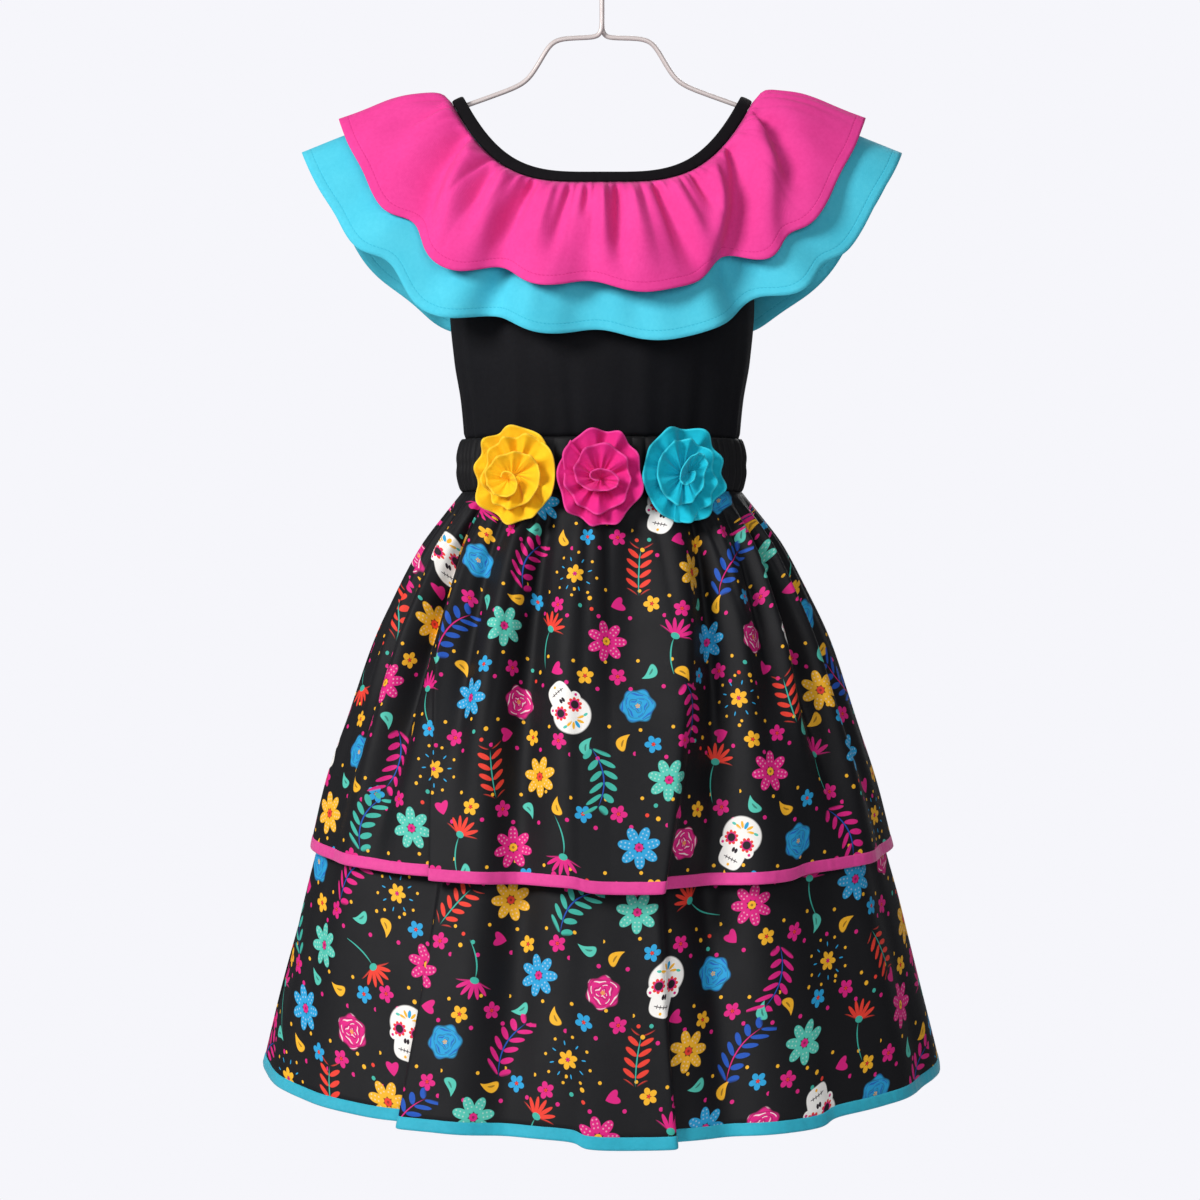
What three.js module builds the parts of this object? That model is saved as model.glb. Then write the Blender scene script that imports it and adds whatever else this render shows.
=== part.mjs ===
// A child's tiered fiesta dress on a bent-wire hanger.
// Millimetres, +Z up, the front faces -Y. The origin is the inside top of the hanger's hook,
// where a rail would hold it.
//
// Every cloth piece is a thin closed wall. Its outer face is a surface place(around, down):
// around is an angle in degrees from the centre front (90 is the +X side, 180 the centre back),
// and down runs from 0 at the piece's top seam to 1 at its lower edge.
import * as THREE from "three";

// Walls and seams
const SEAM_GAP = 0.38;
const FLOUNCE_WALL = 1.1;
const BODICE_WALL = 1.2;
const SKIRT_WALL = 1.1;
const BINDING_WALL = 1.7;
const BINDING_WIDTH = 9;
const BINDING_PROUD = 0.3; // how far the binding stands out past the cloth that it edges
const BINDING_START = 0.05; // the share of its width left clear at the seam
const BINDING_STEP_START = 0.14; // the same where the hem steps down at a fold

// Neck seam: where the binding, both flounces and the bodice meet
const NECK = {
  halfWidth: 98,
  halfDepth: 50,
  frontZ: -187,
  shoulderZ: -129.6,
  roundness: 3.6, // how late the neckline climbs to the shoulder
};
const NECK_BINDING = { wall: 3.4, inward: 7, depthIn: 3.2, frontRise: 6.4, shoulderRise: 3.4 };

// Waistband
const BAND = { topZ: -349, bottomZ: -383, halfWidth: 91, halfDepth: 46.5, bulge: 2.6, wall: 3.2, gathers: 40, gatherDepth: 1 };

// Bodice, from the neck seam to the waistband: a row for each level
const BODICE_SECTIONS = [
  { z: -130, halfWidth: 95.2, halfDepth: 47.2 },
  { z: -190, halfWidth: 95.6, halfDepth: 47.2 },
  { z: -230, halfWidth: 98, halfDepth: 52 },
  { z: -262, halfWidth: 99, halfDepth: 56 },
  { z: -298, halfWidth: 96, halfDepth: 55 },
  { z: -324, halfWidth: 91.5, halfDepth: 51 },
  { z: -348.7, halfWidth: 88.5, halfDepth: 45.5 },
];
const ARMHOLE = { neckAngle: 62, underarmZ: -258, hollow: 2.2 };
const BODICE_GATHERS = { count: 22, depth: 1.6 };

// Flounces: where the lower edge lies, and how far the cloth puffs above the straight line to it
const FLOUNCES = {
  pink: {
    layer: 0,
    halfWidth: 170,
    halfDepth: 80,
    shoulderZ: -142.6,
    frontZ: -256,
    roundness: 4.2,
    puff: 7,
    waves: 1,
    growth: 1.4,
    turn: 0,
    gathers: 44,
  },
  aqua: {
    layer: 1,
    halfWidth: 195,
    halfDepth: 75,
    shoulderZ: -162.6,
    frontZ: -286,
    roundness: 3.7,
    puff: 2.8,
    waves: 0.95,
    growth: 0.6,
    turn: 2,
    gathers: 0,
  },
};
const FLOUNCE_GATHER_DEPTH = 2.2;

// Flounce waves, a row for each valley: its place round the neck, how far it falls back towards
// the body at the lower edge, how far the edge dips there, how far it tucks sideways, and its half width
const FLOUNCE_VALLEYS = [
  { at: -58, back: 7, dip: 3, tuck: 3, wide: 7 },
  { at: -37, back: 14, dip: 5, tuck: 5, wide: 9 },
  { at: -9, back: 9, dip: 4, tuck: 2, wide: 7 },
  { at: 4, back: 5, dip: 2, tuck: 0, wide: 4.5 },
  { at: 14, back: 8, dip: 4, tuck: -2, wide: 5 },
  { at: 38, back: 15, dip: 6, tuck: -6, wide: 8 },
  { at: 60, back: 6, dip: 3, tuck: -3, wide: 7 },
  { at: 121, back: 7, dip: 3, tuck: 3, wide: 7 },
  { at: 144, back: 13, dip: 5, tuck: 4, wide: 9 },
  { at: 170, back: 8, dip: 3, tuck: 1, wide: 7 },
  { at: 187, back: 7, dip: 3, tuck: -1, wide: 6 },
  { at: 214, back: 14, dip: 5, tuck: -5, wide: 9 },
  { at: 239, back: 6, dip: 3, tuck: -3, wide: 7 },
];

// Skirt folds, a row for each: its angle at the hem and at the waist, how far the panel after it
// stands out and dips, how far the fold tucks under, and its half width in degrees.
// A soft fold is a rounded valley that doesn't tuck under.
const SKIRT_FOLDS = [
  { hem: -33.5, waist: -53, level: 8, dip: 1.5, tuck: 13, wide: 2.2 },
  { hem: -3.6, waist: -15, level: 16, dip: 6, tuck: 13, wide: 2 },
  { hem: 11.2, waist: 33, level: 7.6, dip: 3, tuck: 13, wide: 2 },
  { hem: 40, waist: 63, level: 0, dip: 0, tuck: 4, wide: 4, soft: true },
  { hem: 132, waist: 124, level: 8, dip: 3, tuck: 11, wide: 2.2 },
  { hem: 163, waist: 152, level: 16, dip: 6, tuck: 12, wide: 2 },
  { hem: 189, waist: 199, level: 8, dip: 2, tuck: 12, wide: 2 },
  { hem: 224, waist: 232, level: 0, dip: 0, tuck: 4, wide: 4, soft: true },
];
const FOLD_EDGE = 0.74; // how far from its line each edge of a full fold lies, in half widths
const FOLD_COLUMNS = [-1.9, -1.15, -0.82, -0.5, 0, 0.5, 0.82, 1.15, 1.9]; // in half widths
const SOFT_FOLD_COLUMNS = [-1.6, -0.8, 0, 0.8, 1.6];

// Skirt tiers, from the waist seam down. A row for each level below the waist.
const TIERS = {
  upper: {
    topZ: -383.3,
    sideDrop: 229.5,
    frontDrop: 247,
    dips: 1,
    columns: 40,
    gathers: 28,
    gatherDepth: 3,
    levelGrowth: 0.65,
    tuckGrowth: 2,
    sections: [
      { down: 0, halfWidth: 90.8, halfDepth: 46.2 },
      { down: 15, halfWidth: 102.5, halfDepth: 49 },
      { down: 35, halfWidth: 117, halfDepth: 55 },
      { down: 64, halfWidth: 132.5, halfDepth: 65 },
      { down: 96, halfWidth: 147.5, halfDepth: 75 },
      { down: 151, halfWidth: 167, halfDepth: 87 },
      { down: 190, halfWidth: 180, halfDepth: 93 },
      { down: 229.5, halfWidth: 190, halfDepth: 98 },
    ],
  },
  lower: {
    topZ: -383.3,
    sideDrop: 371,
    frontDrop: 402,
    dips: 1.3,
    columns: 30,
    gathers: 0,
    gatherDepth: 0,
    levelGrowth: 1,
    tuckGrowth: 3.2,
    sections: [
      { down: 0, halfWidth: 89.1, halfDepth: 44.5 },
      { down: 35, halfWidth: 109, halfDepth: 49 },
      { down: 96, halfWidth: 141, halfDepth: 67 },
      { down: 190, halfWidth: 175.5, halfDepth: 83 },
      { down: 229.5, halfWidth: 184, halfDepth: 88 },
      { down: 265, halfWidth: 193.6, halfDepth: 94 },
      { down: 304, halfWidth: 203.4, halfDepth: 101 },
      { down: 371, halfWidth: 220, halfDepth: 111 },
    ],
  },
};

// Rosettes on the waistband: one radius across, a longer one up and down
const ROSETTE = { halfWidth: 26.8, halfHeight: 31, segments: 28 };
const ROSETTES = [
  { name: "rosette_yellow", x: -54.5, z: -373, turn: -17, spin: 0, cloth: "yellow" },
  { name: "rosette_pink", x: -1.5, z: -375.4, turn: 0, spin: 70, cloth: "magenta" },
  { name: "rosette_teal", x: 52, z: -373.5, turn: 17, spin: 200, cloth: "teal" },
];
// Rings of a rosette from its back to its middle: share of the full radius, height off the band,
// how deep its edge waves are and how many there are
const ROSETTE_RINGS = [
  { radius: 0.42, height: 0, wave: 0, lobes: 0 },
  { radius: 0.9, height: 5.5, wave: 0.04, lobes: 9 },
  { radius: 0.97, height: 8.2, wave: 0.04, lobes: 9 },
  { radius: 0.72, height: 6.4, wave: 0.03, lobes: 9 },
  { radius: 0.7, height: 12.6, wave: 0.05, lobes: 6 },
  { radius: 0.64, height: 14.2, wave: 0.05, lobes: 6 },
  { radius: 0.43, height: 9.6, wave: 0.04, lobes: 6 },
  { radius: 0.4, height: 16.6, wave: 0.05, lobes: 4 },
  { radius: 0.34, height: 17.6, wave: 0.05, lobes: 4 },
  { radius: 0.15, height: 12.8, wave: 0.04, lobes: 2 },
];

// Hanger: one bent wire for the hook and the -X arm, another for the +X arm behind its stem
const WIRE = { diameter: 3.2, sides: 8 };
const HANGER = {
  hookRadius: 19, // centre line of the hook, whose inside top is the origin
  hookOpenAngle: 215, // how far round the hook runs from the stem's side
  crossZ: -88,
  crossHalf: 30,
  shoulderX: 62,
  shoulderZ: -121.5,
  tipX: 172,
  tipZ: -162.7,
  stemJoinZ: -52,
};

const degrees = THREE.MathUtils.degToRad;
const mix = THREE.MathUtils.lerp;

// A smooth curve through a table: column `value` against column `key`, with no overshoot.
function through(rows, key, value) {
  const x = rows.map((row) => row[key]);
  const y = rows.map((row) => row[value]);
  const chord = x.slice(1).map((end, i) => (y[i + 1] - y[i]) / (end - x[i]));
  const slope = x.map((_, i) => {
    if (i === 0) return chord[0];
    if (i === x.length - 1) return chord[i - 1];
    const before = chord[i - 1];
    const after = chord[i];
    return before * after <= 0 ? 0 : (2 * before * after) / (before + after);
  });
  return (at) => {
    const inside = Math.min(Math.max(at, x[0]), x[x.length - 1]);
    let i = 0;
    while (i < x.length - 2 && inside > x[i + 1]) i += 1;
    const span = x[i + 1] - x[i];
    const t = (inside - x[i]) / span;
    const bend = (2 * t - 3) * t * t + 1;
    return (
      bend * y[i] +
      (1 - bend) * y[i + 1] +
      t * (1 - t) * (1 - t) * span * slope[i] -
      t * t * (1 - t) * span * slope[i + 1]
    );
  };
}

// Shapes of a single fold across its line, where q is the distance in half widths.
// stepOut goes out in two equal steps, one at each of the fold's two rounded edges.
const stepUp = (q) => 0.5 * (1 + Math.tanh(0.9 * q));
const stepOut = (q, edge) => 0.5 + 0.25 * (Math.tanh(4 * (q + edge)) + Math.tanh(4 * (q - edge)));
const sideways = (q) => q * Math.exp((1 - q * q) / 2);
const dent = (q) => Math.exp(-q * q);

// The angle from `centre` to `around`, the short way round
const turnFrom = (around, centre) => ((((around - centre + 180) % 360) + 360) % 360) - 180;

// Outward direction and direction along an ellipse in plan, at an angle
function planDirections(angle, halfWidth, halfDepth) {
  const along = new THREE.Vector3(halfWidth * Math.cos(angle), halfDepth * Math.sin(angle), 0).normalize();
  return { along, out: new THREE.Vector3(along.y, -along.x, 0) };
}

// A closed cloth wall over a grid of places. `across` holds angles and `down` holds 0 to 1.
// A ring closes on itself. An open panel ends at the side seams, where its wall is cut flush.
// Cloth that hangs is given its wall level, so that the edges sewn together stay parallel.
function clothWall({ across, down, place, wall, ring = false, hangs = false }) {
  const outer = across.map((around) => down.map((depth) => place(around, depth)));
  const last = across.length - 1;
  const inner = outer.map((column, i) =>
    column.map((point, j) => {
      const before = outer[ring ? (i + last) % (last + 1) : Math.max(i - 1, 0)][j];
      const after = outer[ring ? (i + 1) % (last + 1) : Math.min(i + 1, last)][j];
      const above = column[Math.max(j - 1, 0)];
      const below = column[Math.min(j + 1, down.length - 1)];
      const sidewaysEdge = after.clone().sub(before);
      const downEdge = below.clone().sub(above);
      const normal = downEdge.cross(sidewaysEdge);
      if (!ring && (i === 0 || i === last)) normal.setY(0);
      if (hangs) normal.setZ(0);
      return point.clone().addScaledVector(normal.normalize(), -wall);
    }),
  );
  const corners = [];
  const quad = (a, b, c, d) => corners.push(a, b, c, a, c, d);
  const spans = ring ? last + 1 : last;
  for (let i = 0; i < spans; i += 1) {
    const next = (i + 1) % (last + 1);
    for (let j = 0; j < down.length - 1; j += 1) {
      quad(outer[i][j], outer[i][j + 1], outer[next][j + 1], outer[next][j]);
      quad(inner[i][j], inner[next][j], inner[next][j + 1], inner[i][j + 1]);
    }
    const low = down.length - 1;
    quad(outer[i][0], outer[next][0], inner[next][0], inner[i][0]);
    quad(outer[i][low], inner[i][low], inner[next][low], outer[next][low]);
  }
  if (!ring) {
    for (let j = 0; j < down.length - 1; j += 1) {
      quad(outer[0][j], inner[0][j], inner[0][j + 1], outer[0][j + 1]);
      quad(outer[last][j], outer[last][j + 1], inner[last][j + 1], inner[last][j]);
    }
  }
  return new THREE.BufferGeometry().setFromPoints(corners);
}

// `count` equal spans from one value to another, both ends included
const evenly = (from, to, count) => Array.from({ length: count + 1 }, (_, i) => mix(from, to, i / count));

// Angles for a ring of `count` columns, the last meeting the first
const allRound = (count) => evenly(-90, 270, count).slice(0, -1);

// Angles for a skirt panel: even ones, with closer ones where the cloth folds under
function skirtColumns(from, to, count) {
  const atFolds = SKIRT_FOLDS.filter((fold) => fold.hem > from && fold.hem < to).flatMap((fold) =>
    (fold.soft ? SOFT_FOLD_COLUMNS : FOLD_COLUMNS).map((share) => fold.hem + share * fold.wide),
  );
  const clearOfFolds = evenly(from, to, count).filter((angle) =>
    atFolds.every((station) => Math.abs(station - angle) > 1.6),
  );
  return [...atFolds, ...clearOfFolds].sort((a, b) => a - b);
}

// Height of the neck seam at an angle
const neckZ = (angle) =>
  mix(NECK.frontZ, NECK.shoulderZ, Math.pow(Math.abs(Math.sin(angle)), NECK.roundness));

// A point on the neck seam, `layers` cloths below the outermost one
function neckSeam(around, layers) {
  const angle = degrees(around);
  const climb = Math.pow(Math.abs(Math.sin(angle)), NECK.roundness);
  const up = mix(0.36, 0.96, climb);
  const level = Math.sqrt(1 - up * up);
  const into = layers * (FLOUNCE_WALL + SEAM_GAP);
  const side = Math.sin(angle);
  const front = -Math.cos(angle);
  return new THREE.Vector3(
    NECK.halfWidth * side - level * side * into,
    NECK.halfDepth * front - level * front * into,
    neckZ(angle) - up * into,
  );
}

// How far a flounce falls back, dips and tucks at an angle, at its lower edge
function flounceWave(around) {
  const wave = { back: 0, dip: 0, tuck: 0 };
  for (const valley of FLOUNCE_VALLEYS) {
    const q = turnFrom(around, valley.at) / valley.wide;
    wave.back += valley.back * dent(q);
    wave.dip += valley.dip * dent(q);
    wave.tuck += valley.tuck * dent(q);
  }
  return wave;
}

function flouncePlace(flounce) {
  return (around, down) => {
    const angle = degrees(around);
    const top = neckSeam(around, flounce.layer);
    const climb = Math.pow(Math.abs(Math.sin(angle)), flounce.roundness);
    const edge = new THREE.Vector3(
      flounce.halfWidth * Math.sin(angle),
      -flounce.halfDepth * Math.cos(angle),
      mix(flounce.frontZ, flounce.shoulderZ, climb),
    );
    const { along, out } = planDirections(angle, flounce.halfWidth, flounce.halfDepth);
    const lift = out.clone().multiplyScalar(Math.sqrt(1 - 0.8 * climb));
    lift.z = Math.sqrt(0.8 * climb);
    const wave = flounceWave(around - flounce.turn);
    const grow = Math.pow(down, flounce.growth) * flounce.waves;
    const gather =
      flounce.gathers === 0
        ? 0
        : FLOUNCE_GATHER_DEPTH *
          (0.5 + 0.5 * Math.cos(flounce.gathers * angle)) *
          Math.min(1, down / 0.06) *
          Math.exp(-down / 0.28);
    const point = top.lerp(edge, down);
    point.addScaledVector(lift, flounce.puff * Math.sin(Math.PI * Math.pow(down, 0.7)) + gather);
    point.addScaledVector(out, -wave.back * grow * (1 - climb));
    point.addScaledVector(along, wave.tuck * grow);
    point.z -= wave.dip * grow;
    return point;
  };
}

function neckBindingPlace(around, up) {
  const angle = degrees(around);
  const climb = Math.pow(Math.abs(Math.sin(angle)), NECK.roundness);
  const share = 0.06 + 0.94 * (1 - up);
  const bulge = 0.5 * Math.sin(Math.PI * share);
  return new THREE.Vector3(
    (NECK.halfWidth - NECK_BINDING.inward * share + bulge) * Math.sin(angle),
    -(NECK.halfDepth - NECK_BINDING.depthIn * share + bulge) * Math.cos(angle),
    neckZ(angle) + mix(NECK_BINDING.frontRise, NECK_BINDING.shoulderRise, climb) * share,
  );
}

const bodiceHalfWidth = through([...BODICE_SECTIONS].reverse(), "z", "halfWidth");
const bodiceHalfDepth = through([...BODICE_SECTIONS].reverse(), "z", "halfDepth");

// The bodice's upper edge: the neckline, then the armhole down to the underarm
function bodiceTopZ(around) {
  const fromCentre = Math.min(Math.abs(turnFrom(around, 0)), Math.abs(turnFrom(around, 180)));
  const seamZ = (away) => neckZ(degrees(away)) - mix(2.4, 7, Math.pow(away / 90, 2));
  if (fromCentre <= ARMHOLE.neckAngle) return seamZ(fromCentre);
  const start = seamZ(ARMHOLE.neckAngle);
  const share = (fromCentre - ARMHOLE.neckAngle) / (90 - ARMHOLE.neckAngle);
  return mix(start, ARMHOLE.underarmZ, 1 - Math.pow(1 - share, ARMHOLE.hollow));
}

function bodicePlace(around, down) {
  const angle = degrees(around);
  const bottom = BODICE_SECTIONS[BODICE_SECTIONS.length - 1].z;
  const z = mix(bodiceTopZ(around), bottom, down);
  const nearWaist = Math.exp(-(z - bottom) / 22) * Math.min(1, (z - bottom) / 4 + 0.2);
  const gather = BODICE_GATHERS.depth * (0.5 + 0.5 * Math.cos(BODICE_GATHERS.count * angle)) * nearWaist;
  return new THREE.Vector3(
    (bodiceHalfWidth(z) + gather) * Math.sin(angle),
    -(bodiceHalfDepth(z) + gather) * Math.cos(angle),
    z,
  );
}

function bandPlace(around, down) {
  const angle = degrees(around);
  const swell = Math.pow(Math.sin(Math.PI * down), 0.7);
  const gather = BAND.gatherDepth * (0.5 + 0.5 * Math.cos(BAND.gathers * angle)) * (0.3 + 0.7 * swell);
  const out = BAND.bulge * swell + gather;
  return new THREE.Vector3(
    (BAND.halfWidth + out) * Math.sin(angle),
    -(BAND.halfDepth + out) * Math.cos(angle),
    mix(BAND.topZ, BAND.bottomZ, down),
  );
}

// The skirt's panel level, hem dip and sideways tuck at an angle, at the size that they have at
// the hem. The fold's edges move apart as its tuck grows.
function skirtFolds(around, tuckShare) {
  const edge = FOLD_EDGE * Math.pow(tuckShare, 0.4);
  const sum = { level: 0, dip: 0, tuck: 0 };
  SKIRT_FOLDS.forEach((fold, i) => {
    const before = i === 0 ? { level: 0, dip: 0 } : SKIRT_FOLDS[i - 1];
    const q = (around - fold.hem) / fold.wide;
    sum.level += (fold.level - before.level) * (fold.soft ? stepUp(q) : stepOut(q, edge));
    sum.dip += (fold.dip - before.dip) * stepUp(q);
    sum.tuck -= fold.tuck * sideways(q);
  });
  return sum;
}

const foldLines = [
  { hem: -90, waist: -90 },
  ...SKIRT_FOLDS.slice(0, 4),
  { hem: 90, waist: 90 },
  ...SKIRT_FOLDS.slice(4),
  { hem: 270, waist: 270 },
];
const waistAngle = through(foldLines, "hem", "waist");

function tierPlace(tier) {
  const halfWidth = through(tier.sections, "down", "halfWidth");
  const halfDepth = through(tier.sections, "down", "halfDepth");
  return (around, down) => {
    const level = down * tier.sideDrop;
    const toHem = Math.pow(Math.min(1, level / TIERS.upper.sideDrop), 0.8);
    const angle = degrees(mix(waistAngle(around), around, toHem));
    const width = halfWidth(level);
    const depth = halfDepth(level);
    const levelShare = Math.pow(down, tier.levelGrowth);
    const tuckShare = Math.pow(down, tier.tuckGrowth);
    const folds = skirtFolds(around, tuckShare);
    const { along, out } = planDirections(angle, width, depth);
    const gather =
      tier.gatherDepth *
      (0.5 + 0.5 * Math.cos(tier.gathers * angle)) *
      Math.min(1, down / 0.09 + 0.1) *
      Math.exp(-down / 0.22);
    const drop = mix(tier.sideDrop, tier.frontDrop, Math.pow(Math.abs(Math.cos(degrees(around))), 0.9));
    const point = new THREE.Vector3(width * Math.sin(angle), -depth * Math.cos(angle), tier.topZ);
    point.addScaledVector(out, folds.level * levelShare + gather);
    point.addScaledVector(along, folds.tuck * tuckShare);
    point.z -= down * drop + folds.dip * tier.dips * tuckShare;
    return point;
  };
}

// The share of a tier's length that its binding takes
const bindingShare = (tier) => BINDING_WIDTH / tier.sideDrop;

function tierBindingPlace(tier) {
  const place = tierPlace(tier);
  const share = bindingShare(tier);
  return (around, down) => {
    const step = 0.4;
    const dipStep = skirtFolds(around + step, 1).dip - skirtFolds(around - step, 1).dip;
    const start = mix(BINDING_START, BINDING_STEP_START, Math.min(1, Math.abs(dipStep)));
    const at = 1 - share + share * mix(start, 1, down);
    const before = place(around - step, at);
    const after = place(around + step, at);
    const out = new THREE.Vector3(after.y - before.y, before.x - after.x, 0).normalize();
    return place(around, at).addScaledVector(out, BINDING_PROUD);
  };
}

function rosetteSolid(spin) {
  const rings = ROSETTE_RINGS.map((ring) =>
    Array.from({ length: ROSETTE.segments }, (_, i) => {
      const angle = (2 * Math.PI * i) / ROSETTE.segments;
      const phase = ring.lobes * angle + degrees(spin) * (1 + ring.lobes / 3);
      const reach = ring.radius + ring.wave * Math.cos(phase);
      return new THREE.Vector3(
        ROSETTE.halfWidth * reach * Math.cos(angle),
        -ring.height - (ring.wave > 0 ? 1.1 * Math.sin(phase) : 0),
        ROSETTE.halfHeight * reach * Math.sin(angle),
      );
    }),
  );
  const back = new THREE.Vector3(0, 0, 0);
  const middle = new THREE.Vector3(0, -12.2, 0);
  const corners = [];
  for (let i = 0; i < ROSETTE.segments; i += 1) {
    const next = (i + 1) % ROSETTE.segments;
    corners.push(back, rings[0][next], rings[0][i]);
    for (let j = 0; j < rings.length - 1; j += 1) {
      corners.push(rings[j][i], rings[j][next], rings[j + 1][next]);
      corners.push(rings[j][i], rings[j + 1][next], rings[j + 1][i]);
    }
    corners.push(middle, rings[rings.length - 1][i], rings[rings.length - 1][next]);
  }
  return new THREE.BufferGeometry().setFromPoints(corners);
}

// A round wire along a path of straight runs and bends. Each corner is rounded to its radius.
function wire(points, steps) {
  const path = new THREE.CatmullRomCurve3(points, false, "centripetal");
  const section = new THREE.Shape().absarc(0, 0, WIRE.diameter / 2, 0, 2 * Math.PI, false);
  return new THREE.ExtrudeGeometry(section, { steps, extrudePath: path, curveSegments: WIRE.sides / 2 });
}

// Points of one arm, from where it turns out of the stem to its tip, for side -1 or +1
function armPoints(side, depth) {
  const corner = 6;
  return [
    new THREE.Vector3(0, depth, HANGER.crossZ + 2.2 * corner),
    new THREE.Vector3(0, depth, HANGER.crossZ + corner),
    new THREE.Vector3(side * 0.3 * corner, depth * 0.9, HANGER.crossZ + 0.25 * corner),
    new THREE.Vector3(side * 1.1 * corner, depth * 0.6, HANGER.crossZ),
    new THREE.Vector3(side * (HANGER.crossHalf - corner), 0, HANGER.crossZ),
    new THREE.Vector3(side * (HANGER.crossHalf + 2), 0, HANGER.crossZ - 2.4),
    new THREE.Vector3(side * (HANGER.crossHalf + 7), 0, HANGER.crossZ - 9),
    new THREE.Vector3(side * (HANGER.shoulderX - 16), 0, HANGER.shoulderZ + 8),
    new THREE.Vector3(side * (HANGER.shoulderX - 8), 0, HANGER.shoulderZ + 2.2),
    new THREE.Vector3(side * (HANGER.shoulderX + 4), 0, HANGER.shoulderZ - 2.6),
    new THREE.Vector3(side * mix(HANGER.shoulderX, HANGER.tipX, 0.5), 0, mix(HANGER.shoulderZ, HANGER.tipZ, 0.5)),
    new THREE.Vector3(side * HANGER.tipX, 0, HANGER.tipZ),
  ];
}

// Points of the hook, from its free end over the top and down to the stem's centre line
function hookPoints() {
  const centreZ = WIRE.diameter / 2 - HANGER.hookRadius;
  return evenly(HANGER.hookOpenAngle, 0, 12).map((turn) => {
    const angle = degrees(turn);
    return new THREE.Vector3(
      HANGER.hookRadius * Math.cos(angle),
      0,
      centreZ + HANGER.hookRadius * Math.sin(angle),
    );
  });
}

const dress = new THREE.Group();

function add(name, geometry, { colour, roughness = 0.9, metalness = 0 }) {
  geometry.deleteAttribute("uv");
  geometry.computeVertexNormals();
  const material = new THREE.MeshStandardMaterial({ color: colour, roughness, metalness });
  const mesh = new THREE.Mesh(geometry, material);
  mesh.name = name;
  dress.add(mesh);
  return mesh;
}

const CLOTH = {
  black: { colour: 0x17161a },
  print: { colour: 0x1d1b20 },
  pink: { colour: 0xe23a93 },
  aqua: { colour: 0x35c4d8 },
  yellow: { colour: 0xf6b412 },
  magenta: { colour: 0xb8337f },
  teal: { colour: 0x12a0ae },
};
const COATED_WIRE = { colour: 0xd9cdc8, roughness: 0.4, metalness: 0.3 };

// Hanger
const stemDepth = WIRE.diameter / 2 + SEAM_GAP / 2;
const hookCentreX = -HANGER.hookRadius;
const hook = hookPoints().map((point) => point.add(new THREE.Vector3(hookCentreX, -stemDepth, 0)));
add("hanger_hook_arm", wire([...hook, new THREE.Vector3(0, -stemDepth, -55), ...armPoints(-1, -stemDepth)], 42), COATED_WIRE);
const rightArm = [new THREE.Vector3(0, stemDepth, HANGER.stemJoinZ), ...armPoints(1, stemDepth)];
add("hanger_arm", wire(rightArm, 26), COATED_WIRE);

// Neckline, flounces and bodice
add(
  "neck_binding",
  clothWall({ across: allRound(48), down: [0, 0.5, 1], place: neckBindingPlace, wall: NECK_BINDING.wall, ring: true }),
  CLOTH.black,
);
add(
  "flounce_pink",
  clothWall({
    across: allRound(132),
    down: [0, 0.08, 0.3, 0.62, 1],
    place: flouncePlace(FLOUNCES.pink),
    wall: FLOUNCE_WALL,
    ring: true,
  }),
  CLOTH.pink,
);
add(
  "flounce_aqua",
  clothWall({
    across: allRound(72),
    down: [0, 0.3, 0.65, 1],
    place: flouncePlace(FLOUNCES.aqua),
    wall: FLOUNCE_WALL,
    ring: true,
  }),
  CLOTH.aqua,
);
const SIDE_GAP_DEGREES = 0.2;
const bodiceColumns = [-90, -86, -80, -74, -68, -62, ...evenly(-50, 50, 14), 62, 68, 74, 80, 86, 90];
const panels = [
  { side: "front", turn: 0 },
  { side: "back", turn: 180 },
];
for (const { side, turn } of panels) {
  const across = bodiceColumns.map((angle) =>
    turn + Math.sign(angle) * Math.min(Math.abs(angle), 90 - SIDE_GAP_DEGREES),
  );
  add(
    "bodice_" + side,
    clothWall({ across, down: [0, 0.25, 0.5, 0.74, 0.9, 1], place: bodicePlace, wall: BODICE_WALL }),
    CLOTH.black,
  );
}

// Waistband and skirt
add(
  "waistband",
  clothWall({ across: allRound(120), down: [0, 0.5, 1], place: bandPlace, wall: BAND.wall, ring: true }),
  CLOTH.black,
);
const tierRows = {
  upper: [0, 0.06, 0.15, 0.3, 0.52, 0.76],
  lower: [0, 0.18, 0.52, 0.76],
};
for (const [name, tier] of Object.entries(TIERS)) {
  const down = [...tierRows[name], 1 - bindingShare(tier)];
  const hemColumns = [];
  for (const { side, turn } of panels) {
    const across = skirtColumns(turn - 90 + SIDE_GAP_DEGREES, turn + 90 - SIDE_GAP_DEGREES, tier.columns);
    hemColumns.push(...across.slice(0, -1));
    add(
      "skirt_" + name + "_" + side,
      clothWall({ across, down, place: tierPlace(tier), wall: SKIRT_WALL, hangs: true }),
      CLOTH.print,
    );
  }
  add(
    name === "upper" ? "hem_binding_pink" : "hem_binding_aqua",
    clothWall({
      across: hemColumns,
      down: [0, 1],
      place: tierBindingPlace(tier),
      wall: BINDING_WALL,
      ring: true,
      hangs: true,
    }),
    name === "upper" ? CLOTH.magenta : CLOTH.teal,
  );
}

// Rosettes, each against the waistband's front
for (const { name, x, z, turn, spin, cloth } of ROSETTES) {
  const angle = Math.asin(x / (BAND.halfWidth + BAND.bulge));
  const rosette = add(name, rosetteSolid(spin), CLOTH[cloth]);
  const bandFront = (BAND.halfDepth + BAND.bulge + BAND.gatherDepth) * Math.cos(angle);
  rosette.position.set(x, -bandFront - SEAM_GAP, z);
  rosette.rotation.z = degrees(turn);
}

export default dress;
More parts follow.
